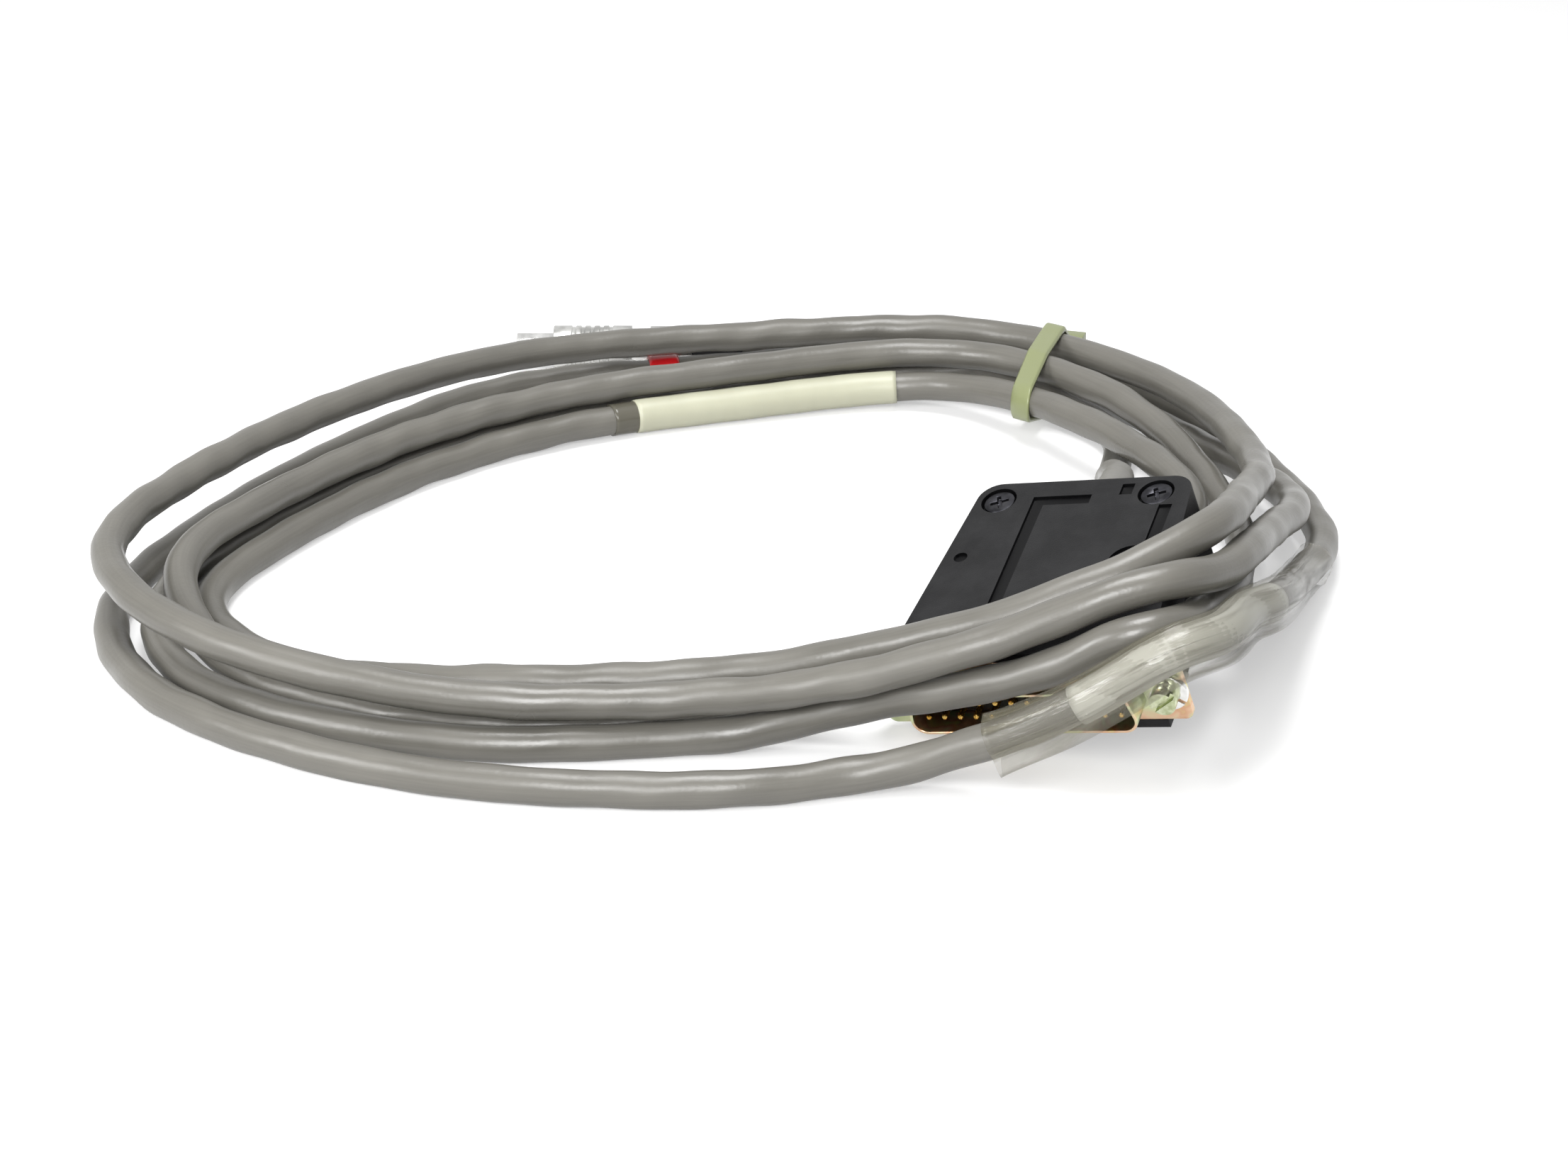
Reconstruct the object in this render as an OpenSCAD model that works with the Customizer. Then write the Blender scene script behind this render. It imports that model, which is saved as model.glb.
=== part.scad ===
// Coiled signal cable for stage and studio instruments.
// A 25-way plug in a black two-part hood is at one end of the cable, a slim round
// push-pull plug at the other. About five turns of cable lie in one oval coil, held
// by a cable tie, and four of them climb over the front of the hood.
// +Z is up, the floor is z = 0, and the origin is under the middle of the coil's box.

/* [Cable] */
// Outside diameter of the cable's jacket
cable_d = 6; // [5.8:0.05:6.05]
// Number of flat sides on the coiled tube
coil_sides = 6; // [6:1:8]
// Number of flat sides on the two free leads
lead_sides = 8; // [8:1:12]
// Clearance between the jacket and the bores that it goes through
cable_clear = 0.2; // [0.15:0.05:0.3]

/* [Hood] */
// Thickness of the hood's side walls beside the rear shell
hood_side_t = 1.3; // [1.1:0.05:1.5]
// Width of the hood at its back
hood_back_w = 38.5; // [37.5:0.1:39.5]
// Length of the hood from the flange to its back
hood_l = 43.5; // [43:0.1:43.8]
// Height of the two halves together
hood_h = 16; // [15.6:0.1:16.2]
// Thickness of the hood's walls
wall = 2; // [1.6:0.1:2.2]
// Radius of the hood's back corners
corner_r = 4; // [3.5:0.1:5]
// Depth of the grooves in the cover
groove_depth = 0.6; // [0.4:0.1:0.8]
// Diameter of the round recess over each hood screw
recess_d = 6.3; // [6:0.1:6.6]
// Diameter of the hood screws' heads
screw_head_d = 5.4; // [5:0.1:5.6]
// Diameter of the hood screws' shanks
screw_d = 2.4; // [2:0.1:2.5]

/* [Plug insert] */
// How far the steel flange reaches out past the middle of a post hole
flange_ear = 2.98; // [2.9:0.02:3.1]
// Height of the steel flange
flange_h = 12.55; // [12.2:0.05:12.7]
// Thickness of each of the two flange plates
plate_t = 0.6; // [0.5:0.05:0.7]
// Distance from the front shell's side to the middle of a post hole
post_out = 4.04; // [4:0.01:4.2]
// Width of the front shell's wide side
shell_w = 38.96; // [38.8:0.02:39]
// Height of the front shell
shell_h = 8.36; // [8.3:0.02:8.4]
// How far the front shell stands out of the flange
shell_out = 5.4; // [5:0.1:5.6]
// How much further out the rear shell's sides are than the front shell's
rear_step = 1.02; // [0.9:0.02:1.1]
// Height of the rear shell
rear_h = 10.9; // [10.6:0.1:11]
// Diameter of a contact pin
pin_d = 1; // [0.9:0.02:1.02]
// Distance between two pins of a row
pin_pitch = 2.77; // [2.76:0.01:2.78]
// Distance between the two rows of pins
row_pitch = 2.84; // [2.8:0.01:2.88]
// Diameter of a lock post's slotted head
post_head_d = 4.4; // [4.2:0.1:4.8]
// Diameter of a lock post's thread
post_d = 2.8; // [2.6:0.05:2.9]
// Outside diameter of a split washer
washer_d = 7; // [6.6:0.1:7.4]
// Thickness of a split washer
washer_t = 0.9; // [0.7:0.05:1]

/* [Round plug] */
// Diameter of the sliding latch sleeve
latch_d = 10; // [9.8:0.05:10]
// Length of the sliding latch sleeve
latch_l = 17; // [16:0.1:17.5]
// Travel of the latch sleeve
latch_travel = 2.5; // [2:0.1:2.7]
// Diameter of the plug's inner body
body_d = 8.2; // [8:0.05:8.3]
// Diameter of the front shell that enters the socket
nose_d = 6.8; // [6.7:0.05:6.9]
// Diameter of the collet nut
nut_d = 9.8; // [9.6:0.05:10]

/* [Sleeves and tie] */
// Outside diameter of the clear sleeve on the near side
clear_d = 8.2; // [8:0.05:8.3]
// Outside diameter of the ivory marker sleeve on the far side
ivory_d = 7; // [6.8:0.05:7]
// Outside diameter of the red marker ring
ring_d = 7.2; // [6.9:0.05:7.2]
// Width of the cable tie's strap
tie_w = 4.8; // [4.5:0.1:5]
// Thickness of the cable tie's strap
tie_t = 1; // [0.8:0.05:1.2]

/* [Hidden] */
$fn = 40;
// Place of the coil's centre over the frame's origin
coil_at = [-2.95, -0.25, 0];
// The plug's flange front, from the coil's centre, and how the plug lies: yaw, back raised, side raised
plug_at = [51.4, -88.4, 12.3];
plug_yaw = -20.6;
plug_pitch = 19.1;
plug_roll = -12.9;
// The round plug's tip, from the coil's centre; its axis runs along +X
round_at = [-46, 100, latch_d / 2];

rear_w = shell_w + 2 * rear_step;
hole_pitch = shell_w + 2 * post_out;
flange_w = hole_pitch + 2 * flange_ear;
// Clearance between the rear shell and the hood
rear_clear = 0.2;
hood_w = rear_w + 2 * (rear_clear + hood_side_t);

cable_r = cable_d / 2;
cable_bore_r = cable_r + cable_clear;
// Height of the cable's middle over the floor where a flat of its tube rests there
rest_h = cable_r * cos(180 / coil_sides);
rings_per_turn = 24;

// Stations round each turn: the angle from the right-hand side, counter-clockwise from above,
// and how many rings of the tube lie from one station to the next
station_angle = [0, 30, 60, 90, 120, 150, 180, 200, 220, 245, 270, 285, 297, 303, 308, 314, 320, 340];
station_rings = [2, 2, 2, 2, 2, 2, 1, 1, 1, 1, 1, 1, 1, 1, 1, 1, 1, 1];
// Rings of a turn that come before an angle
ring_count = [[0, 0], [30, 2], [60, 4], [90, 6], [120, 8], [150, 10], [180, 12], [200, 13], [220, 14],
    [245, 15], [270, 16], [285, 17], [297, 18], [303, 19], [308, 20], [314, 21], [320, 22], [340, 23],
    [360, 24]];
// The coil starts and ends at its third station
first_station = 2;

// One row a turn, from the innermost end: [radius from the coil's centre, lift over the floor lane]
// at each station. A row that stops early is the last one.
turns = [
    [[0, 0], [0, 0], [101.5, 2.2], [75.5, 0], [70, 0], [74, 0], [88, 0], [105.5, 0.2], [109.5, 0],
        [98.7, 0], [87, 0], [92, 7], [108, 15], [120.5, 25], [121.6, 24.6], [114.5, 20.9],
        [111.5, 19], [98, 6.4]],
    [[97, 2.4], [94, 9.2], [95, 7.7], [71, 7.2], [66.5, 6.8], [70.5, 6.6], [84.5, 6.9], [101.5, 7.4],
        [102, 0.6], [91, 0], [80, 0], [75, 0], [70, 0], [70, 0], [70, 0], [71, 0], [73, 1.4],
        [81, 5.4]],
    [[89, 7.4], [82, 8], [88.5, 2.2], [67.5, 0.9], [63, 0.9], [67, 0], [80, 0], [97, 0], [94.5, 0],
        [84, 4.8], [78.5, 7.2], [84.5, 12.2], [99.5, 21.4], [105, 26.2], [109.5, 29.7], [111.3, 32.6],
        [109.3, 32], [98.5, 21.4]],
    [[100, 14.4], [105, 10.6], [107, 9], [90, 8.2], [84, 10.4], [83, 12.4], [96, 13.4], [114, 12.9],
        [110, 10.4], [96.5, 7.4], [87, 7.3], [97, 14.2], [107, 22.5], [114.5, 28.9], [119, 31],
        [117.3, 28.3], [113, 26.2], [104, 15.9]],
    [[107, 7.4], [102.5, 2.2], [112, 2.2], [91, 1], [91, 1], [88, 0.2], [98.5, 0], [114, 0], [117, 0],
        [111, 0], [106, 0], [104, 0.6], [119, 13.2], [128.5, 24.6], [129.2, 25.4], [122.5, 22.9],
        [119.5, 19.9], [109, 6.9]],
    [[113, 1.4], [112, 2.2], [120, 2.2]]
];

// Free route from the hood's back down to the floor and out under the bundle, from the coil's centre
plug_lead_route = [[71.5, -24, 22.5], [73, -8, 17.5], [74, 7, 11.5], [75.4, 21, 5.2],
    [78, 35, 3.2], [79, 51, 3.4], [67.5, 67.5, 4.8]];
// Free route from the coil's outer end into the round plug
round_lead_route = [[38, 108, 3.6], [20, 102.5, 4.2], [10, 100, 5], [3, 100, 5], [-17, 100, 5]];

// Depths along the hood, from the flange front back
cable_end_depth = hood_l - 10.5;
clamp_depth = hood_l - 6.5;
clamp_len = 4;
// A point of the tie's upright plane, from the coil's centre, and how that plane is turned from +X
tie_at = [61, 57];
tie_turn = 72;
// How much further out a cable reaches in the tie's plane, because it crosses at a slant
tie_slant = 2.9;
// Thickness, width and height of the tie's head
tie_head = [4, 5.6, 6];
// Angles on the fifth turn between which the clear sleeve and the label in it lie
clear_from = 292.5;
clear_to = 347;
label_from = 298;
label_to = 319;

// Direction of an axis of the lying plug in the frame
function rot_z(v, a) = [v[0] * cos(a) - v[1] * sin(a), v[0] * sin(a) + v[1] * cos(a), v[2]];
function rot_x(v, a) = [v[0], v[1] * cos(a) - v[2] * sin(a), v[1] * sin(a) + v[2] * cos(a)];
plug_axis = rot_z(rot_x([0, 1, 0], plug_pitch), plug_yaw);

function unit(v) = v / norm(v);

// Middle of the cable at one station
function station_point(a, s) = [s[0] * cos(a), s[0] * sin(a), rest_h + s[1]];

coil_stations = [for (t = [0 : len(turns) - 1])
    for (j = [(t == 0 ? first_station : 0) : len(turns[t]) - 1])
        station_point(station_angle[j], turns[t][j])];
coil_counts = [for (t = [0 : len(turns) - 1])
    for (j = [(t == 0 ? first_station : 0) : len(turns[t]) - 1]) station_rings[j]];
plug_lead_stations = concat([for (d = [cable_end_depth, hood_l, hood_l + cable_d]) plug_at + plug_axis * d],
    plug_lead_route);

stations = concat(plug_lead_stations, coil_stations, round_lead_route);
counts = concat([for (p = plug_lead_stations) 2], [for (i = [0 : len(coil_counts) - 2]) coil_counts[i]],
    [2], [for (p = round_lead_route) 2]);

// A smooth curve through four neighbouring stations, at share f of the middle stretch
function between(a, b, c, d, f) = (2 * b + (c - a) * f + (2 * a - 5 * b + 4 * c - d) * f * f
    + (3 * b - a - 3 * c + d) * f * f * f) / 2;
last_station = len(stations) - 1;
ring_points = concat([for (i = [0 : last_station - 1]) for (k = [0 : counts[i] - 1])
    between(stations[max(i - 1, 0)], stations[i], stations[i + 1], stations[min(i + 2, last_station)],
        k / counts[i])], [stations[last_station]]);
// Numbers of the rings at which the coil starts and ends
coil_first = 2 * len(plug_lead_stations);
coil_last = len(ring_points) - 1 - 2 * len(round_lead_route);

function direction(p, i) = unit((i < len(p) - 1 ? unit(p[i + 1] - p[i]) : [0, 0, 0])
    + (i > 0 ? unit(p[i] - p[i - 1]) : [0, 0, 0]));
ring_dirs = [for (i = [0 : len(ring_points) - 1]) direction(ring_points, i)];

// Number of the ring at an angle of a turn, with a fraction between two rings
function ring_of(turn, a) = coil_first + rings_per_turn * turn + lookup(a, ring_count)
    - lookup(station_angle[first_station], ring_count);
function point_at(x) = let (i = floor(x), f = x - i)
    f == 0 ? ring_points[i] : ring_points[i] * (1 - f) + ring_points[i + 1] * f;
function dir_at(x) = let (i = floor(x)) x == i ? ring_dirs[i] : unit(ring_points[i + 1] - ring_points[i]);
// Ring numbers from x to y: both ends, and every whole ring between them
function stretch(x, y) = concat([x], [for (i = [floor(x) + 1 : ceil(y) - 1]) i], [y]);

// One ring of a tube, its flats level with the floor, and never under the floor
function ring(c, t, r, sides) = let (s = unit(cross(t, [0, 0, 1])), u = cross(s, t))
    [for (k = [0 : sides - 1]) let (a = 360 * (k + (sides == 8 ? 0.5 : 0)) / sides,
        p = c + r * (cos(a) * s + sin(a) * u)) [p[0], p[1], max(p[2], 0)]];

// A solid tube of triangles along the rings with these numbers
module tube(numbers, r, sides) {
    n = len(numbers);
    points = [for (x = numbers) each ring(point_at(x), dir_at(x), r, sides)];
    sidewall = [for (i = [0 : n - 2]) for (k = [0 : sides - 1])
        let (a = i * sides + k, b = i * sides + (k + 1) % sides)
            each [[a, b, b + sides], [a, b + sides, a + sides]]];
    start = [for (k = [1 : sides - 2]) [0, k + 1, k]];
    end = [for (k = [1 : sides - 2]) let (e = (n - 1) * sides) [e, e + k, e + k + 1]];
    polyhedron(points = points, faces = concat(sidewall, start, end), convexity = 8);
}

// A sleeve of triangles round the cable, from the first to the last of these ring numbers
module sleeve(numbers, r_out, r_in, sides) {
    n = len(numbers);
    m = 2 * sides;
    points = [for (x = numbers) each concat(ring(point_at(x), dir_at(x), r_out, sides),
        ring(point_at(x), dir_at(x), r_in, sides))];
    walls = [for (i = [0 : n - 2]) for (k = [0 : sides - 1])
        let (a = i * m + k, b = i * m + (k + 1) % sides, c = a + sides, d = b + sides)
            each [[a, b, b + m], [a, b + m, a + m], [c, d + m, d], [c, c + m, d + m]]];
    rims = [for (k = [0 : sides - 1])
        let (b = (k + 1) % sides, e = (n - 1) * m)
            each [[k, k + sides, b + sides], [k, b + sides, b],
                [e + k, e + b, e + b + sides], [e + k, e + b + sides, e + k + sides]]];
    polyhedron(points = points, faces = concat(walls, rims), convexity = 8);
}

// Least distance between two straight stretches a-b and c-d
function clamp01(x) = min(1, max(0, x));
function stretch_gap(a, b, c, d) = let (u = b - a, v = d - c, w = a - c, uu = u * u, uv = u * v, vv = v * v,
    uw = u * w, vw = v * w, den = uu * vv - uv * uv, s = den > 1e-6 ? clamp01((uv * vw - vv * uw) / den)
        : 0,
    t = clamp01((uv * s + vw) / vv), s2 = clamp01((uv * t - uw) / uu)) norm(w + s2 * u - t * v);
// Least gap of the wound tube to itself, over every two stretches that are not neighbours
self_gap = min([for (i = [0 : len(ring_points) - 8]) for (j = [i + 6 : len(ring_points) - 2])
    if (norm(ring_points[i] - ring_points[j]) < 60)
        stretch_gap(ring_points[i], ring_points[i + 1], ring_points[j], ring_points[j + 1])]) - cable_d;
cable_length = len(ring_points) > 1 ?
    [for (i = 0, s = 0; i < len(ring_points); s = s + (i < len(ring_points) - 1 ?
        norm(ring_points[i + 1] - ring_points[i]) : 0), i = i + 1) s][len(ring_points) - 1] : 0;
echo(least_gap_of_the_coil_to_itself_mm = self_gap, cable_length_mm = cable_length);

// Places the lying plug: x across, y to the back, z up out of the cover
module plug_place() {
    translate(coil_at + plug_at) rotate([0, 0, plug_yaw]) rotate([plug_pitch, 0, 0])
        rotate([0, plug_roll, 0]) children();
}

// Places the round plug: z along its axis from the tip
module round_place() {
    translate(coil_at + round_at) rotate([0, 90, 0]) children();
}

// Something that runs along the plug from depth d on, drawn with its z up
module along(d, l) {
    translate([0, d + l, 0]) rotate([90, 0, 0]) linear_extrude(l) children();
}

// Outline of a plug shell: wide side down, sides at 10 degrees
module d_outline(w, h, r) {
    lean = tan(10) * (h - 2 * r);
    hull() for (x = [-1, 1]) {
        translate([x * (w / 2 - r), -h / 2 + r]) circle(r, $fn = 32);
        translate([x * (w / 2 - r - lean), h / 2 - r]) circle(r, $fn = 32);
    }
}

// Outline of the hood from above, drawn in by e
module hood_outline(e) {
    hull() {
        translate([-hood_w / 2 + e, -plate_t]) square([hood_w - 2 * e, 8]);
        for (x = [-1, 1])
            translate([x * (hood_back_w / 2 - corner_r), hood_l - corner_r]) circle(corner_r - e, $fn = 32);
    }
}

screw_spots = [[-15, hood_l - 4.5], [13.2, hood_l - 4.2]];
clamp_screw_x = 7;
boss_r = 3;
recess_depth = 1.5;
// Width of the cover's grooves, and how far from the flange and from the back they start
groove_w = 2.3;
groove_from = 9;
groove_back = 4;
flange_gap = 0.1;
// How far the rear shell reaches into the hood
rear_out = 6;

// One half of the hood before its own details; its parting face is z = 0
module hood_half() {
    difference() {
        linear_extrude(hood_h / 2) hood_outline(0);
        translate([0, 0, -1]) linear_extrude(hood_h / 2 - wall + 1) intersection() {
            hood_outline(wall);
            translate([-hood_w / 2, wall]) square([hood_w, hood_l]);
        }
        // slot for the flange, open at both sides
        translate([-hood_w / 2 - 1, -plate_t - 1, -1])
            cube([hood_w + 2, 2 * plate_t + 1 + flange_gap, flange_h / 2 + flange_gap + 1]);
        // opening for the rear shell
        translate([-rear_w / 2 - rear_clear, -1, -1])
            cube([rear_w + 2 * rear_clear, rear_out + 1.4, rear_h / 2 + 1 + rear_clear]);
        // way out for the cable
        translate([0, hood_l - wall - 1, 0]) rotate([-90, 0, 0]) cylinder(r = cable_bore_r, h = wall + 2);
        // room for the nuts behind the flange
        for (x = [-1, 1]) translate([x * hole_pitch / 2, 0, 0]) rotate([-90, 0, 0])
            cylinder(r = 3.2, h = 4.4);
    }
}

module plug_hood_cover() {
    color([0.23, 0.23, 0.24]) plug_place() difference() {
        union() {
            hood_half();
            for (p = screw_spots) translate([p[0], p[1], 0])
                cylinder(r = boss_r, h = hood_h / 2 - wall + 0.1);
        }
        for (p = screw_spots) translate([p[0], p[1], -1]) {
            cylinder(d = screw_d + 0.4, h = hood_h);
            translate([0, 0, hood_h / 2 + 1 - recess_depth]) cylinder(d = recess_d, h = 4);
        }
        // grooves, round finger mark and small pockets in the top face
        translate([0, 0, hood_h / 2 - groove_depth]) {
            translate([-8.7, groove_from]) cube([groove_w, hood_l - groove_back - groove_from, 2]);
            translate([-8.7, hood_l - groove_back - groove_w]) cube([10.5, groove_w, 2]);
            translate([14.6, hood_l - 18.5]) cube([groove_w, 11, 2]);
            translate([13.2, hood_l - 21.7, 0]) cylinder(d = 7.6, h = 2);
            translate([-17.4, hood_l - 19.3, 0]) cylinder(d = 2.4, h = 2);
            translate([6.7, hood_l - 4.4]) cube([2.2, 2.8, 2]);
        }
    }
}

module plug_hood_base() {
    color([0.21, 0.21, 0.22]) plug_place() rotate([0, 180, 0]) difference() {
        union() {
            hood_half();
            for (p = screw_spots) translate([-p[0], p[1], 0])
                cylinder(r = boss_r, h = hood_h / 2 - wall + 0.1);
            for (x = [-1, 1]) translate([x * clamp_screw_x, clamp_depth, 1.2])
                cylinder(r = 2, h = hood_h / 2 - wall - 1.1);
        }
        for (p = screw_spots) translate([-p[0], p[1], -1])
            cylinder(d = screw_d + 0.1, h = hood_h / 2 - wall + 1);
        for (x = [-1, 1]) translate([x * clamp_screw_x, clamp_depth, 0]) cylinder(r = 1.05, h = 5.4);
    }
}

// A cross-headed screw, head top at z = 0, shank down
module cross_screw(head_d, head_h, shank_d, shank_l) {
    difference() {
        union() {
            translate([0, 0, -head_h]) cylinder(d = head_d, h = head_h);
            translate([0, 0, -head_h - shank_l]) cylinder(d = shank_d, h = shank_l + 0.1);
        }
        for (a = [0, 90]) rotate([0, 0, a + 20]) translate([-head_d * 0.3, -0.35, -head_h * 0.6])
            cube([head_d * 0.6, 0.7, head_h]);
    }
}

screw_head_h = 1.2;
hood_screw_l = 9.5;

module plug_hood_screws() {
    color([0.16, 0.16, 0.17]) plug_place() for (p = screw_spots)
        translate([p[0], p[1], hood_h / 2 - recess_depth + screw_head_h])
            cross_screw(screw_head_d, screw_head_h, screw_d, hood_screw_l);
}

// Holes of a flange plate for the two lock posts
module post_holes() {
    for (x = [-1, 1]) translate([x * hole_pitch / 2, -5, 0]) rotate([-90, 0, 0])
        cylinder(d = post_d + 0.3, h = 10);
}

module flange_plate(d) {
    along(d, plate_t) hull() for (x = [-1, 1]) for (z = [-1, 1])
        translate([x * (flange_w / 2 - 1.5), z * (flange_h / 2 - 1.5)]) circle(1.5, $fn = 24);
}

module plug_front_shell() {
    color([0.74, 0.72, 0.5]) plug_place() difference() {
        union() {
            flange_plate(-plate_t);
            along(-plate_t - shell_out, shell_out + 0.1) d_outline(shell_w, shell_h, 2.6);
        }
        along(-plate_t - shell_out - 1, shell_out + plate_t + 2) d_outline(shell_w - 1, shell_h - 1, 2.1);
        post_holes();
    }
}

module plug_rear_shell() {
    color([0.72, 0.7, 0.5]) plug_place() difference() {
        union() {
            flange_plate(0);
            along(0.1, rear_out - 0.1) d_outline(rear_w, rear_h, 3);
        }
        along(-1, 8) d_outline(rear_w - 1, rear_h - 1, 2.5);
        post_holes();
    }
}

// Places of the 25 contacts: 13 below, 12 above
contact_spots = [for (row = [0, 1]) for (i = [0 : 12 - row])
    [(i - (12 - row) / 2) * pin_pitch, (row - 0.5) * row_pitch]];

module plug_insulator() {
    color([0.07, 0.07, 0.07]) plug_place() difference() {
        union() {
            along(-plate_t - 0.4, plate_t + 0.5) d_outline(shell_w - 1.3, shell_h - 1.3, 1.9);
            along(0, 6.6) d_outline(rear_w - 1.3, rear_h - 1.3, 2.3);
        }
        for (c = contact_spots) translate([c[0], -3, c[1]]) rotate([-90, 0, 0])
            cylinder(d = pin_d + 0.1, h = 12);
    }
}

pin_tip = 5.2;
cup_depth = 6.8;
cup_l = 3.2;

module plug_pins() {
    color([0.83, 0.68, 0.35]) plug_place() for (c = contact_spots) translate([c[0], 0, c[1]])
        rotate([-90, 0, 0]) {
        translate([0, 0, -pin_tip]) cylinder(d = pin_d, h = pin_tip + cup_depth + 0.1);
        translate([0, 0, cup_depth]) cylinder(d = 1.5, h = cup_l);
    }
}

wire_d = 0.7;
// Where the wires meet in the jacket: three rows above and three below the middle
wire_step_x = 0.33;
wire_step_z = 0.75;

// A straight wire from p to q
module wire(p, q) {
    v = q - p;
    translate(p) rotate([0, acos(v[2] / norm(v)), atan2(v[1], v[0])])
        cylinder(d = wire_d, h = norm(v), $fn = 16);
}

module plug_wires() {
    color([0.6, 0.55, 0.5]) plug_place() for (i = [0 : len(contact_spots) - 1]) {
        c = contact_spots[i];
        low = i < 13;
        place = low ? i - 6 : i - 18.5;
        row = wire_d / 2 + 0.1 + wire_step_z * ((low ? i : i - 13) % 3);
        wire([c[0], cup_depth + cup_l + 0.2, c[1]], [place * wire_step_x, cable_end_depth - 0.2,
            low ? -row : row]);
    }
}

clamp_plate_t = 1.1;

module plug_cable_clamp() {
    color([0.62, 0.62, 0.6]) plug_place() difference() {
        along(clamp_depth - clamp_len / 2, clamp_len) difference() {
            union() {
                circle(r = cable_bore_r + 0.8);
                translate([-clamp_screw_x - 2, -clamp_plate_t])
                    square([2 * clamp_screw_x + 4, clamp_plate_t]);
            }
            circle(r = cable_bore_r);
        }
        for (x = [-1, 1]) translate([x * clamp_screw_x, clamp_depth, -3]) cylinder(r = 1.15, h = 6);
    }
}

module plug_clamp_screws() {
    color([0.66, 0.66, 0.64]) plug_place() for (x = [-1, 1])
        translate([x * clamp_screw_x, clamp_depth, screw_head_h]) cross_screw(3.6, screw_head_h, 2, 5);
}

post_head_h = 2.6;

module plug_lock_posts() {
    color([0.72, 0.74, 0.6]) plug_place() for (x = [-1, 1])
        translate([x * hole_pitch / 2, -plate_t - washer_t, 0]) rotate([90, 0, 0]) difference() {
            union() {
                cylinder(d = post_head_d, h = post_head_h);
                translate([0, 0, -6.2]) cylinder(d = post_d, h = 6.3);
            }
            rotate([0, 0, 35]) translate([-post_head_d, -0.4, post_head_h - 0.9])
                cube([2 * post_head_d, 0.8, 2]);
        }
}

module plug_lock_washers() {
    color([0.82, 0.83, 0.82]) plug_place() for (x = [-1, 1])
        translate([x * hole_pitch / 2, -plate_t, 0]) rotate([90, 0, 0]) difference() {
            cylinder(d = washer_d, h = washer_t);
            translate([0, 0, -1]) cylinder(d = post_d + 0.4, h = 3);
            rotate([0, 0, x > 0 ? -40 : 200]) translate([0, -0.35, -1]) cube([washer_d, 0.7, 3]);
        }
}

nut_t = 2.4;

module plug_post_nuts() {
    color([0.75, 0.75, 0.72]) plug_place() for (x = [-1, 1])
        translate([x * hole_pitch / 2, plate_t, 0]) rotate([-90, 0, 0]) difference() {
            cylinder(d = 5.5, h = nut_t, $fn = 6);
            translate([0, 0, -1]) cylinder(d = post_d + 0.1, h = nut_t + 2);
        }
}

// Depths along the round plug's axis, from its tip
nose_l = 15;
latch_start = 8;
// The latch sleeve's travel ends this far before the collet nut
latch_stop = 1.5;
nut_start = latch_start + latch_l + latch_travel + latch_stop;
body_end = nut_start + 4;
nut_l = 9;
nut_end = nut_start + nut_l;
relief_l = 11;
relief_end = nut_end + relief_l;
// Radius of the bend relief's neck in the collet nut
neck_r = 3.8;
// Radius of the body's pocket for the collet
pocket_r = 3.75;
nose_r = nose_d / 2;
// Wall of the front shell, and how much narrower it is under the latch sleeve
nose_t = 0.7;
nose_step = 0.2;
body_r = body_d / 2;
round_contacts_at = concat([[0, 0]], [for (a = [0 : 60 : 300]) [1.8 * cos(a), 1.8 * sin(a)]]);

module round_front_shell() {
    color([0.78, 0.78, 0.77]) round_place() difference() {
        union() {
            cylinder(r = nose_r, h = latch_start);
            cylinder(r = nose_r - nose_step, h = nose_l);
        }
        translate([0, 0, -1]) cylinder(r = nose_r - nose_t, h = nose_l + 2);
    }
}

module round_insulator() {
    color([0.86, 0.84, 0.76]) round_place() difference() {
        translate([0, 0, 4]) cylinder(r = nose_r - nose_t - 0.1, h = nose_l - 4);
        for (p = round_contacts_at) translate([p[0], p[1], 0]) cylinder(d = 0.9, h = nose_l + 2);
        // keyway between two contacts
        rotate([0, 0, 150]) translate([nose_r - nose_t - 0.5, -0.4, 0]) cube([1, 0.8, nose_l + 2]);
    }
}

module round_contacts() {
    color([0.83, 0.68, 0.35]) round_place() for (p = round_contacts_at)
        translate([p[0], p[1], 1.5]) cylinder(d = 0.8, h = nose_l + 1.5);
}

module round_wires() {
    color([0.6, 0.55, 0.5]) round_place() for (p = round_contacts_at)
        translate([p[0], p[1], nose_l + 3]) cylinder(d = wire_d, h = nut_start - nose_l - 3);
}

latch_gap = 0.2;
// Grip grooves of the latch sleeve
grip_from = latch_start + 4;
grip_pitch = 2;
grip_count = 5;
grip_depth = 0.3;

module round_latch_sleeve() {
    color([0.7, 0.7, 0.69]) round_place() difference() {
        translate([0, 0, latch_start]) cylinder(d = latch_d, h = latch_l);
        translate([0, 0, latch_start - 1]) cylinder(r = body_r + latch_gap, h = latch_l + 2);
        for (i = [0 : grip_count - 1]) translate([0, 0, grip_from + i * grip_pitch]) difference() {
            cylinder(d = latch_d + 1, h = 0.8);
            translate([0, 0, -1]) cylinder(d = latch_d - 2 * grip_depth, h = 3);
        }
    }
}

module round_body() {
    color([0.72, 0.72, 0.71]) round_place() difference() {
        translate([0, 0, nose_l]) cylinder(r = body_r, h = body_end - nose_l);
        translate([0, 0, nose_l - 1]) cylinder(r = body_r - 0.9, h = body_end - nose_l);
        translate([0, 0, nut_start - 2]) cylinder(r = pocket_r, h = body_end);
    }
}

module round_collet() {
    color([0.76, 0.62, 0.36]) round_place() difference() {
        translate([0, 0, nut_start - 1.6]) cylinder(r = pocket_r - 0.1, h = 6);
        translate([0, 0, nut_start - 3]) cylinder(r = cable_bore_r, h = 9);
        translate([-0.3, 0, nut_start - 3]) cube([0.6, 5, 9]);
    }
}

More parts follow.
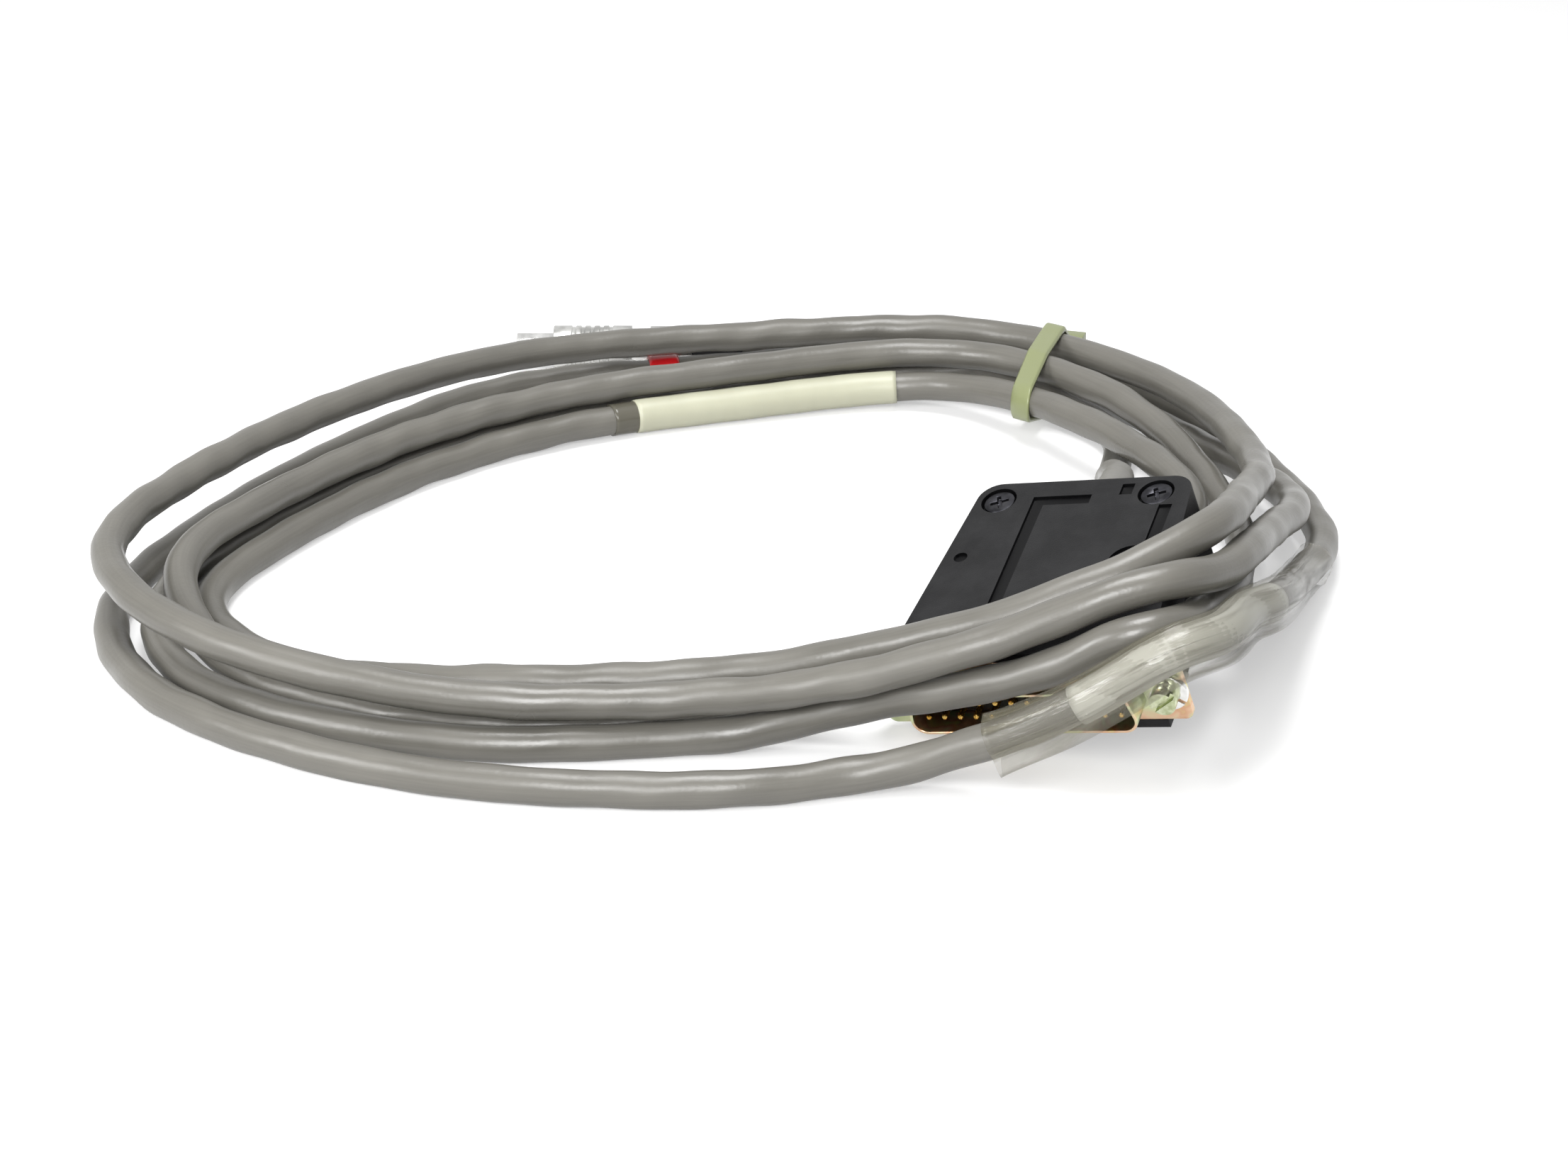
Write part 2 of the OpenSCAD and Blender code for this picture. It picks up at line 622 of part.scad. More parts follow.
module round_collet_nut() {
    color([0.68, 0.68, 0.67]) round_place() difference() {
        translate([0, 0, nut_start]) cylinder(d = nut_d, h = nut_end - nut_start);
        translate([0, 0, nut_start - 1]) cylinder(r = body_r + 0.1, h = nut_l - 1);
        translate([0, 0, nut_start]) cylinder(r = neck_r + 0.1, h = nut_end);
        for (y = [-1, 1]) translate([-nut_d, y * (nut_d / 2 + 0.6) - 1, nut_start + 2])
            cube([2 * nut_d, 2, 4]);
    }
}

module round_bend_relief() {
    color([0.12, 0.12, 0.12]) round_place() rotate_extrude() polygon([[cable_bore_r, body_end + 0.7],
        [body_r - 0.1, body_end + 0.7], [body_r - 0.1, nut_end - 2.2], [neck_r, nut_end - 2.2],
        [neck_r, nut_end + 0.1], [4.6, nut_end + 0.1], [4, relief_end], [cable_bore_r, relief_end]]);
}

jacket = [0.5, 0.49, 0.47];

module cable_coil() {
    color(jacket) translate(coil_at) tube([for (i = [coil_first : coil_last]) i], cable_r, coil_sides);
}

module plug_lead() {
    color(jacket) translate(coil_at) tube([for (i = [0 : coil_first]) i], cable_r, lead_sides);
}

module round_lead() {
    color(jacket) translate(coil_at) tube([for (i = [coil_last : len(ring_points) - 1])
        i], cable_r, lead_sides);
}

module near_clear_sleeve() {
    color([0.8, 0.8, 0.76, 0.6]) translate(coil_at)
        sleeve(stretch(ring_of(4, clear_from), ring_of(4, clear_to)), clear_d / 2, clear_d / 2 - 0.3, 8);
}

module near_label() {
    color([0.85, 0.84, 0.78]) translate(coil_at)
        sleeve(stretch(ring_of(4, label_from), ring_of(4, label_to)), cable_r + 0.4, cable_r + 0.2,
            coil_sides);
}

module far_label_sleeve() {
    color([0.88, 0.9, 0.8]) translate(coil_at)
        sleeve(stretch(ring_of(2, 66), ring_of(2, 107)), ivory_d / 2, cable_r + 0.08, coil_sides);
}

module far_clear_sleeve() {
    color([0.75, 0.74, 0.7, 0.6]) translate(coil_at)
        sleeve(stretch(ring_of(2, 107.3), ring_of(2, 112)), cable_r + 0.3, cable_r + 0.08, coil_sides);
}

module red_marker_ring() {
    color([0.72, 0.1, 0.12]) translate(coil_at)
        sleeve(stretch(ring_of(4, 96.5), ring_of(4, 100.5)), ring_d / 2, cable_r + 0.08, coil_sides);
}

// How far a point is to one side of the tie's upright plane, and how far along that plane
function off_tie(p) = (p[0] - tie_at[0]) * sin(tie_turn) - (p[1] - tie_at[1]) * cos(tie_turn);
function along_tie(p) = (p[0] - tie_at[0]) * cos(tie_turn) + (p[1] - tie_at[1]) * sin(tie_turn);
// The cables that the tie holds: middle of each where it crosses the tie, as [place along it, height]
tied = [for (i = [0 : len(ring_points) - 2]) let (a = ring_points[i], b = ring_points[i + 1])
    if (off_tie(a) * off_tie(b) <= 0 && abs(along_tie(a)) < 50)
        let (p = a + (b - a) * off_tie(a) / (off_tie(a) - off_tie(b))) [along_tie(p), p[2]]];
tie_slack = 0.5;

module tie_outline(r) {
    hull() for (c = tied) for (x = [-1, 1]) translate([c[0] + x * tie_slant, c[1]]) circle(r, $fn = 24);
}

module cable_tie() {
    outer = max([for (c = tied) c[0]]) + cable_r + tie_slack + tie_slant;
    color([0.8, 0.83, 0.66]) translate(coil_at + [tie_at[0], tie_at[1], 0]) rotate([0, 0, tie_turn])
        rotate([90, 0, 0]) {
        linear_extrude(tie_w, center = true) difference() {
            tie_outline(cable_r + tie_slack + tie_t);
            tie_outline(cable_r + tie_slack);
        }
        translate([outer, tie_head[2] / 2, -tie_head[1] / 2]) cube([tie_head[0], tie_head[2], tie_head[1]]);
    }
}

plug_hood_cover();
plug_hood_base();
plug_hood_screws();
plug_front_shell();
plug_rear_shell();
plug_insulator();
plug_pins();
plug_wires();
plug_cable_clamp();
plug_clamp_screws();
plug_lock_posts();
plug_lock_washers();
plug_post_nuts();
round_front_shell();
round_insulator();
round_contacts();
round_wires();
round_latch_sleeve();
round_body();
round_collet();
round_collet_nut();
round_bend_relief();
cable_coil();
plug_lead();
round_lead();
near_clear_sleeve();
near_label();
far_label_sleeve();
far_clear_sleeve();
red_marker_ring();
cable_tie();
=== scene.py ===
"""Dresses the coiled signal cable: the round jacket, its sleeves and tie, and both plugs."""

import math
import random

import bmesh
import bpy
from bpy.props import FloatProperty, IntProperty, PointerProperty, StringProperty
from bpy.types import Operator, Panel, PropertyGroup
from mathutils import Matrix, Vector


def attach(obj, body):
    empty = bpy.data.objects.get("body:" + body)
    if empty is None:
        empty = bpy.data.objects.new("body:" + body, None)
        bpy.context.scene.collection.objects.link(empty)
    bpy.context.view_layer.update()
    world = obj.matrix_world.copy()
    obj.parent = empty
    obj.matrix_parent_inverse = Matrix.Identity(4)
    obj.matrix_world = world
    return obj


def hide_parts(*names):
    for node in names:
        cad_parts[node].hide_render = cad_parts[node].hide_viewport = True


bl_info = {
    "name": "Coiled signal cable",
    "version": (1, 0, 0),
    "blender": (4, 5, 0),
    "location": "View3D > Sidebar > Signal cable",
    "description": "Builds the looks of a coiled signal cable around its packed frame",
    "category": "Object",
}

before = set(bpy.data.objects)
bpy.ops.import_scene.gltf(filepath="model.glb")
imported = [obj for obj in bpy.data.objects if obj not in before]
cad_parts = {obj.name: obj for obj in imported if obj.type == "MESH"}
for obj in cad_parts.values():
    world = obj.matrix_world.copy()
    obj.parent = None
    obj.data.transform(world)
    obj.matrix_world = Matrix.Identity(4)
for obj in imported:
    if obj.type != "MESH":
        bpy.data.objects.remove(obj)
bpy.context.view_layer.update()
MM = 0.001

# ---- The cable's route, in millimetres, as the source of the part gives it ----

# Place of the coil's centre, and of the plug's flange front from that centre
COIL_AT = Vector((-2.95, -0.25, 0))
PLUG_AT = Vector((51.4, -88.4, 12.3))
# How the plug lies, in degrees: turned, back raised, side raised
PLUG_TURN = (-20.6, 19.1, -12.9)
# The height from which the stations' lifts count, and the least height of the jacket's middle
REST_HEIGHT = 2.8
FLOOR_HEIGHT = 3.05

# Angles of a turn's stations, and the station at which the first turn starts
STATION_ANGLES = (0, 30, 60, 90, 120, 150, 180, 200, 220, 245, 270, 285, 297, 303, 308, 314, 320,
                  340)
FIRST_STATION = 2

# One row a turn, from the innermost end: (radius, lift over the floor lane) at each station
TURNS = (
    ((0, 0), (0, 0), (101.5, 2.2), (75.5, 0), (70, 0), (74, 0), (88, 0), (105.5, 0.2), (109.5, 0),
     (98.7, 0), (87, 0), (92, 7), (108, 15), (120.5, 25), (121.6, 24.6), (114.5, 20.9), (111.5, 19),
     (98, 6.4)),
    ((97, 2.4), (94, 9.2), (95, 7.7), (71, 7.2), (66.5, 6.8), (70.5, 6.6), (84.5, 6.9),
     (101.5, 7.4), (102, 0.6), (91, 0), (80, 0), (75, 0), (70, 0), (70, 0), (70, 0), (71, 0),
     (73, 1.4), (81, 5.4)),
    ((89, 7.4), (82, 8), (88.5, 2.2), (67.5, 0.9), (63, 0.9), (67, 0), (80, 0), (97, 0), (94.5, 0),
     (84, 4.8), (78.5, 7.2), (84.5, 12.2), (99.5, 21.4), (105, 26.2), (109.5, 29.7), (111.3, 32.6),
     (109.3, 32), (98.5, 21.4)),
    ((100, 14.4), (105, 10.6), (107, 9), (90, 8.2), (84, 10.4), (83, 12.4), (96, 13.4),
     (114, 12.9), (110, 10.4), (96.5, 7.4), (87, 7.3), (97, 14.2), (107, 22.5), (114.5, 28.9),
     (119, 31), (117.3, 28.3), (113, 26.2), (104, 15.9)),
    ((107, 7.4), (102.5, 2.2), (112, 2.2), (91, 1), (91, 1), (88, 0.2), (98.5, 0), (114, 0),
     (117, 0), (111, 0), (106, 0), (104, 0.6), (119, 13.2), (128.5, 24.6), (129.2, 25.4),
     (122.5, 22.9), (119.5, 19.9), (109, 6.9)),
    ((113, 1.4), (112, 2.2), (120, 2.2)),
)
PLUG_LEAD_ROUTE = ((71.5, -24, 22.5), (73, -8, 17.5), (74, 7, 11.5), (75.4, 21, 5.2),
                   (78, 35, 3.2), (79, 51, 3.4), (67.5, 67.5, 4.8))
ROUND_LEAD_ROUTE = ((38, 108, 3.6), (20, 102.5, 4.2), (10, 100, 5), (3, 100, 5), (-17, 100, 5))

HOOD_LENGTH = 43.5
# Depth in the hood at which the jacket comes into the open wall, and how far it runs straight out
EXIT_DEPTH = 41.0
STRAIGHT_OUT = 6.0
# Fine points between two stations, and how many of them the easing takes on either side
FINE_POINTS = 100
EASING = 26
# A point of the tie's upright plane from the coil's centre, and how that plane is turned from +X
TIE_AT = (61, 57)
TIE_TURN = 72


def plug_matrix():
    """Place of the lying plug: x across, y to its back, z up out of the cover."""
    turn, pitch, roll = (math.radians(a) for a in PLUG_TURN)
    return (Matrix.Translation((COIL_AT + PLUG_AT) * MM) @ Matrix.Rotation(turn, 4, "Z")
            @ Matrix.Rotation(pitch, 4, "X") @ Matrix.Rotation(roll, 4, "Y"))


def in_hood(depth):
    """A point on the plug's axis, this deep from the flange front, from the coil's centre."""
    return plug_matrix() @ Vector((0, depth * MM, 0)) / MM - COIL_AT


def stations():
    """Every station of the cable from plug to plug, and the number of the coil's first one."""
    lead = [in_hood(depth) for depth in (EXIT_DEPTH, HOOD_LENGTH, HOOD_LENGTH + STRAIGHT_OUT)]
    lead += [Vector(p) for p in PLUG_LEAD_ROUTE]
    coil = []
    for number, row in enumerate(TURNS):
        for j, (radius, lift) in enumerate(row):
            if number == 0 and j < FIRST_STATION:
                continue
            a = math.radians(STATION_ANGLES[j])
            coil.append(Vector((radius * math.cos(a), radius * math.sin(a), REST_HEIGHT + lift)))
    return lead + coil + [Vector(p) for p in ROUND_LEAD_ROUTE], len(lead)


STATIONS, COIL_START = stations()


def station_number(turn, angle):
    """Place along the stations, with a fraction, of an angle of one turn."""
    j = max(i for i, a in enumerate(STATION_ANGLES) if a <= angle)
    after = STATION_ANGLES[j + 1] if j + 1 < len(STATION_ANGLES) else 360
    share = (angle - STATION_ANGLES[j]) / (after - STATION_ANGLES[j])
    return COIL_START + turn * len(STATION_ANGLES) + j - FIRST_STATION + share


def route_point(x):
    """The cubic curve through the stations at a place along them, in metres in the frame."""
    last = len(STATIONS) - 1
    i = min(int(x), last - 1)
    f = x - i
    a, b, c, d = (STATIONS[min(max(k, 0), last)] for k in (i - 1, i, i + 1, i + 2))
    p = (2 * b + (c - a) * f + (2 * a - 5 * b + 4 * c - d) * f * f
         + (3 * b - a - 3 * c + d) * f ** 3)
    p = p / 2 + COIL_AT
    p.z = max(p.z, FLOOR_HEIGHT)
    return p * MM


def eased_route():
    """Fine points along the whole route, with the stiff cable's small kinks averaged out of it."""
    count = (len(STATIONS) - 1) * FINE_POINTS
    points = [route_point(i / FINE_POINTS) for i in range(count + 1)]
    for _ in range(2):
        sums = [Vector((0, 0, 0))]
        for p in points:
            sums.append(sums[-1] + p)
        points = [(sums[i + reach + 1] - sums[i - reach]) / (2 * reach + 1)
                  for i, reach in ((i, min(EASING, i, count - i)) for i in range(count + 1))]
    return points


EASED = eased_route()


def running_lengths(points):
    """How far along the line through these points each of them lies."""
    lengths = [0.0]
    for p, q in zip(points, points[1:]):
        lengths.append(lengths[-1] + math.dist(p, q))
    return lengths


def evenly(points, steps):
    """Points at even steps along the line through these points, with both of its ends."""
    lengths = running_lengths(points)
    even, k = [], 0
    for i in range(steps + 1):
        want = lengths[-1] * i / steps
        while k < len(lengths) - 2 and lengths[k + 1] < want:
            k += 1
        span = lengths[k + 1] - lengths[k]
        share = (want - lengths[k]) / span if span else 0
        even.append(points[k].lerp(points[k + 1], min(max(share, 0), 1)))
    return even


def route(start, end, step):
    """Points about one step apart along the route between two places on it."""
    points = EASED[round(start * FINE_POINTS):round(end * FINE_POINTS) + 1]
    return evenly(points, max(2, round(running_lengths(points)[-1] / step)))


# ---- Mesh and node helpers ----

# How near two loose corners of a CAD mesh lie, and how flat two of its faces meet, to be joined
MERGE_DISTANCE = 2e-6
FLAT_ANGLE = 0.4
# From which angle an edge of a CAD mesh is rounded, and from which it then stays sharp
EDGE_ANGLE = 32
SHARP_ANGLE = 24


def linear(hex_colour):
    """An sRGB hex colour as linear RGBA."""
    values = [int(hex_colour.lstrip("#")[i:i + 2], 16) / 255 for i in (0, 2, 4)]
    return [v / 12.92 if v <= 0.04045 else ((v + 0.055) / 1.055) ** 2.4 for v in values] + [1.0]


def shaded(colour, factor):
    """A linear colour made darker or paler by a factor."""
    return [min(c * factor, 1) for c in colour[:3]] + [1]


def spacing(mm):
    """The scale of a pattern whose marks lie this many millimetres apart."""
    return 1 / (mm * MM)


def add_node(tree, kind, settings=None, **inputs):
    """Adds a shader or geometry node. An input, by name or as _number, is a value or a socket."""
    made = tree.nodes.new(kind)
    for key, value in (settings or {}).items():
        setattr(made, key, value)
    for key, value in inputs.items():
        by_number = key[0] == "_" and key[1:].isdigit()
        socket = made.inputs[int(key[1:]) if by_number else key.replace("_", " ")]
        if isinstance(value, bpy.types.NodeSocket):
            tree.links.new(value, socket)
        else:
            socket.default_value = value
    return made


def new_material(name, **values):
    """A node material, its tree and its Principled shader with these values."""
    material = bpy.data.materials.new(name)
    material.use_nodes = True
    shader = material.node_tree.nodes["Principled BSDF"]
    for key, value in values.items():
        shader.inputs[key.replace("_", " ")].default_value = value
    return material, material.node_tree, shader


def seen_directly(tree):
    """A socket that is 1 for what the camera sees, also mirrored or through a film, or else 0."""
    sight = add_node(tree, "ShaderNodeLightPath")
    mirrored = add_node(tree, "ShaderNodeMath", {"operation": "MAXIMUM"},
                        _0=sight.outputs["Is Camera Ray"], _1=sight.outputs["Is Glossy Ray"])
    through = add_node(tree, "ShaderNodeMath", {"operation": "MAXIMUM"},
                       _0=mirrored.outputs[0], _1=sight.outputs["Is Transmission Ray"])
    return through.outputs[0]


def link_object(mesh, name, material=None):
    """A new object at the origin that shows this mesh."""
    piece = bpy.data.objects.new(name, mesh)
    bpy.context.collection.objects.link(piece)
    if material:
        mesh.materials.clear()
        mesh.materials.append(material)
    return piece


def object_from(bm, name, material):
    """A new object from a bmesh, which is freed."""
    mesh = bpy.data.meshes.new(name)
    bm.to_mesh(mesh)
    bm.free()
    return link_object(mesh, name, material)


def stand_for(piece, slot, *nodes, body="cable"):
    """A piece rides on its body and replaces these CAD nodes. The slot is not used."""
    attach(piece, body)
    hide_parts(*nodes)


def section_frames(points):
    """At each point, the direction sideways out of the route and the one square to it, upwards."""
    frames = []
    for i in range(len(points)):
        along = (points[min(i + 1, len(points) - 1)] - points[max(i - 1, 0)]).normalized()
        side = along.cross(Vector((0, 0, 1))).normalized()
        frames.append((side, side.cross(along)))
    return frames


def swept(name, points, radius_at, sides, material, closed_ends=True):
    """A tube of radius radius_at(share of the length, angle), mapped by turns and metres."""
    bm = bmesh.new()
    uv = bm.loops.layers.uv.new("UVMap")
    rings, lengths = [], running_lengths(points)
    for p, (side, up), length in zip(points, section_frames(points), lengths):
        ring = []
        for k in range(sides):
            a = 2 * math.pi * k / sides
            r = radius_at(length / lengths[-1], a)
            ring.append(bm.verts.new(p + (side * math.cos(a) + up * math.sin(a)) * r))
        rings.append(ring)
    for i in range(len(rings) - 1):
        for k in range(sides):
            n = (k + 1) % sides
            face = bm.faces.new((rings[i][k], rings[i][n], rings[i + 1][n], rings[i + 1][k]))
            face.smooth = True
            corners = ((k, i), (k + 1, i), (k + 1, i + 1), (k, i + 1))
            for loop, (u, v) in zip(face.loops, corners):
                loop[uv].uv = (u / sides, lengths[v])
    if closed_ends:
        bm.faces.new(list(reversed(rings[0])))
        bm.faces.new(rings[-1])
    bmesh.ops.recalc_face_normals(bm, faces=bm.faces)
    return object_from(bm, name, material)


def baked(piece):
    """Applies an object's modifiers and leaves a plain mesh."""
    graph = bpy.context.evaluated_depsgraph_get()
    mesh = bpy.data.meshes.new_from_object(piece.evaluated_get(graph))
    old = piece.data
    piece.modifiers.clear()
    piece.data = mesh
    if old.users == 0:
        bpy.data.meshes.remove(old)


def round_edges(piece, width, segments, edge_angle, sharp_angle):
    """Rounds a piece's edges, by a width in metres, and shades it smooth between sharp ones."""
    bevel = piece.modifiers.new("edges", "BEVEL")
    bevel.width = width
    bevel.segments = segments
    bevel.limit_method = "ANGLE"
    bevel.angle_limit = math.radians(edge_angle)
    baked(piece)
    for face in piece.data.polygons:
        face.use_smooth = True
    piece.data.set_sharp_from_angle(angle=math.radians(sharp_angle))


def dress_nodes(rows):
    """Copies CAD nodes with rounded edges, in their finish, to stand for them.

    A row is the node, the new piece, the width of its edges in millimetres, its material, its slot,
    which is not used, and its body."""
    for node, name, width, material, slot, body in rows:
        bm = bmesh.new()
        bm.from_mesh(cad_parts[node].data)
        bmesh.ops.remove_doubles(bm, verts=bm.verts, dist=MERGE_DISTANCE)
        bmesh.ops.dissolve_limit(bm, angle_limit=math.radians(FLAT_ANGLE), verts=bm.verts,
                                 edges=bm.edges)
        piece = object_from(bm, name, material)
        round_edges(piece, width * MM, 3, EDGE_ANGLE, SHARP_ANGLE)
        stand_for(piece, slot, node, body=body)


# ---- Materials ----

PLASTIC_IOR = 1.5


def pvc_jacket(colour):
    """Extruded satin PVC: even grey, faint lengthwise draw lines, dull scuffs and a soft sheen."""
    material, tree, shader = new_material("satin grey PVC jacket", IOR=PLASTIC_IOR)
    # Draw lines: 42 round the jacket, so 0.45 mm apart
    coords = add_node(tree, "ShaderNodeUVMap", {"uv_map": "UVMap"})
    stretched = add_node(tree, "ShaderNodeMapping", Vector=coords.outputs["UV"],
                         Scale=(42, spacing(15.15), 1))
    streaks = add_node(tree, "ShaderNodeTexNoise", Vector=stretched.outputs[0], Scale=1.0,
                       Detail=5.0)
    # Real scuffs lie closer than 1.1 mm, and are drawn as coarse as they need to show
    place = add_node(tree, "ShaderNodeTexCoord")
    blotches = add_node(tree, "ShaderNodeTexNoise", Vector=place.outputs["Object"],
                        Scale=spacing(18.2), Detail=3.0)
    scuffs = add_node(tree, "ShaderNodeTexNoise", Vector=place.outputs["Object"],
                      Scale=spacing(1.11), Detail=4.0)
    mixed = add_node(tree, "ShaderNodeMix", {"data_type": "FLOAT"}, _0=0.5,
                     _2=streaks.outputs["Fac"], _3=blotches.outputs["Fac"])
    ramp = add_node(tree, "ShaderNodeValToRGB", Fac=mixed.outputs[0])
    base = linear(colour)
    for stop, (position, factor) in zip(ramp.color_ramp.elements, ((0.36, 0.86), (0.64, 1.08))):
        stop.position, stop.color = position, shaded(base, factor)
    tree.links.new(ramp.outputs["Color"], shader.inputs["Base Color"])
    rough = add_node(tree, "ShaderNodeMapRange", Value=blotches.outputs["Fac"], From_Min=0.3,
                     From_Max=0.7, To_Min=0.27, To_Max=0.48)
    tree.links.new(rough.outputs[0], shader.inputs["Roughness"])
    bump = add_node(tree, "ShaderNodeBump", Strength=0.22, Distance=0.2 * MM,
                    Height=scuffs.outputs["Fac"])
    tree.links.new(bump.outputs[0], shader.inputs["Normal"])
    return material


def moulded_plastic(name, colour, roughness, grain_mm, strength=0.25, wear=0.2, gloss=0.5):
    """Injection-moulded plastic with a spark-eroded grain, a little paler where it is worn.

    The grain is drawn coarser than a real one, which is under 0.1 mm and would not show."""
    material, tree, shader = new_material(name, IOR=PLASTIC_IOR, Specular_IOR_Level=gloss)
    place = add_node(tree, "ShaderNodeTexCoord")
    grain = add_node(tree, "ShaderNodeTexNoise", Vector=place.outputs["Object"],
                     Scale=spacing(grain_mm), Detail=3.0)
    dust = add_node(tree, "ShaderNodeTexNoise", Vector=place.outputs["Object"],
                    Scale=spacing(8.33), Detail=6.0, Roughness=0.65)
    ramp = add_node(tree, "ShaderNodeValToRGB", Fac=dust.outputs["Fac"])
    base = linear(colour)
    worn = [min(c * (1 + wear) + 0.01 * wear, 1) for c in base[:3]] + [1]
    for stop, (position, tone) in zip(ramp.color_ramp.elements, ((0.4, base), (0.75, worn))):
        stop.position, stop.color = position, tone
    tree.links.new(ramp.outputs["Color"], shader.inputs["Base Color"])
    rough = add_node(tree, "ShaderNodeMapRange", Value=dust.outputs["Fac"], From_Min=0.3,
                     From_Max=0.7, To_Min=roughness - 0.06, To_Max=roughness + 0.06)
    tree.links.new(rough.outputs[0], shader.inputs["Roughness"])
    bump = add_node(tree, "ShaderNodeBump", Strength=strength, Distance=0.08 * MM,
                    Height=grain.outputs["Fac"])
    tree.links.new(bump.outputs[0], shader.inputs["Normal"])
    return material


def metal(name, dark, light, roughness, patch_mm=3.0):
    """A turned or plated metal whose tone and gloss wander between two levels in soft patches."""
    material, tree, shader = new_material(name, Metallic=1.0)
    place = add_node(tree, "ShaderNodeTexCoord")
    patches = add_node(tree, "ShaderNodeTexNoise", Vector=place.outputs["Object"],
                       Scale=spacing(patch_mm), Detail=4.0)
    ramp = add_node(tree, "ShaderNodeValToRGB", Fac=patches.outputs["Fac"])
    for stop, (position, tone) in zip(ramp.color_ramp.elements, ((0.38, dark), (0.62, light))):
        stop.position, stop.color = position, linear(tone)
    tree.links.new(ramp.outputs["Color"], shader.inputs["Base Color"])
    rough = add_node(tree, "ShaderNodeMapRange", Value=patches.outputs["Fac"], From_Min=0.3,
                     From_Max=0.7, To_Min=max(roughness - 0.05, 0.03), To_Max=roughness + 0.06)
    tree.links.new(rough.outputs[0], shader.inputs["Roughness"])
    return material


def chromated_steel():
    """Yellow chromate on zinced steel: green, straw and rose interference colours in bands."""
    material, tree, shader = new_material("yellow chromated steel", Metallic=1.0, Roughness=0.3)
    place = add_node(tree, "ShaderNodeTexCoord")
    bands = add_node(tree, "ShaderNodeTexNoise", Vector=place.outputs["Object"],
                     Scale=spacing(7.7), Detail=2.5, Distortion=0.8)
    ramp = add_node(tree, "ShaderNodeValToRGB", Fac=bands.outputs["Fac"])
    first, *between, last = ((0.30, "#A9B68A"), (0.42, "#C9CFA6"), (0.50, "#D8B79A"),
                             (0.56, "#CDA283"), (0.64, "#CFCB8E"), (0.74, "#B7BE93"))
    for stop, (position, colour) in zip(ramp.color_ramp.elements, (first, last)):
        stop.position, stop.color = position, linear(colour)
    for position, colour in between:
        ramp.color_ramp.elements.new(position).color = linear(colour)
    tree.links.new(ramp.outputs["Color"], shader.inputs["Base Color"])
    return material


def clear_film():
    """Clear lay-flat film: it dims what it lies on a little, and its long creases catch light."""
    material, tree, shader = new_material(
        "clear shrink film", Base_Color=linear("#6F6B5B"), Roughness=0.08, IOR=PLASTIC_IOR,
        Specular_IOR_Level=1.0)
    # Creases: 13 round the film, so 1.6 mm apart
    coords = add_node(tree, "ShaderNodeUVMap", {"uv_map": "UVMap"})
    stretched = add_node(tree, "ShaderNodeMapping", Vector=coords.outputs["UV"],
                         Scale=(13, spacing(38.5), 1))
    creases = add_node(tree, "ShaderNodeTexNoise", Vector=stretched.outputs[0], Scale=1.0,
                       Detail=4.0, Distortion=0.8)
    haze = add_node(tree, "ShaderNodeValToRGB", Fac=creases.outputs["Fac"])
    for stop, (position, level) in zip(haze.color_ramp.elements, ((0.46, 0.12), (0.72, 0.55))):
        stop.position, stop.color = position, (level, level, level, 1)
    tree.links.new(haze.outputs["Color"], shader.inputs["Alpha"])
    bump = add_node(tree, "ShaderNodeBump", Strength=1.0, Distance=0.8 * MM,
                    Height=creases.outputs["Fac"])
    tree.links.new(bump.outputs[0], shader.inputs["Normal"])
    return material


def sleeve_plastic(name, colour, roughness, subsurface=0.0, alpha=1.0):
    """Shrunk polyolefin: even colour, a slight haze and faint shrink ripples round it."""
    material, tree, shader = new_material(
        name, Roughness=roughness, Alpha=alpha, Subsurface_Weight=subsurface,
        Subsurface_Radius=(0.0012, 0.001, 0.0008), Subsurface_Scale=1.0)
    coords = add_node(tree, "ShaderNodeUVMap", {"uv_map": "UVMap"})
    stretched = add_node(tree, "ShaderNodeMapping", Vector=coords.outputs["UV"],
                         Scale=(3, spacing(3.85), 1))
    ripples = add_node(tree, "ShaderNodeTexNoise", Vector=stretched.outputs[0], Scale=1.0,
                       Detail=3.0)
    ramp = add_node(tree, "ShaderNodeValToRGB", Fac=ripples.outputs["Fac"])
    for stop, factor in zip(ramp.color_ramp.elements, (0.94, 1.06)):
        stop.color = shaded(linear(colour), factor)
    tree.links.new(ramp.outputs["Color"], shader.inputs["Base Color"])
    bump = add_node(tree, "ShaderNodeBump", Strength=0.12, Distance=0.3 * MM,
                    Height=ripples.outputs["Fac"])
    tree.links.new(bump.outputs[0], shader.inputs["Normal"])
    return material


# ---- Properties ----

class CableLooks(PropertyGroup):
    """Sizes and colour of the round jacket."""
    jacket_diameter: FloatProperty(
        name="Jacket diameter", description="Outside diameter of the round jacket",
        default=0.006, unit="LENGTH")
    ring_step: FloatProperty(
        name="Ring step", description="Distance between two rings of the jacket's mesh",
        default=0.0014, unit="LENGTH")
    jacket_sides: IntProperty(
        name="Jacket sides", description="Faces round the jacket", default=24, min=8)
    jacket_colour: StringProperty(
        name="Jacket colour", description="sRGB colour of the jacket", default="#615F59")
    lump_height: FloatProperty(
        name="Lump height", description="Height of the low lumps that the cores make",
        default=0.0001, unit="LENGTH")


class PlugLooks(PropertyGroup):
    """Edges and colour of the black hood."""
    edge_width: FloatProperty(
        name="Edge width", description="Width of the hood's rounded edges",
        default=0.00045, min=0.00005, unit="LENGTH")
    hood_colour: StringProperty(
        name="Hood colour", description="sRGB colour of the hood", default="#131314")


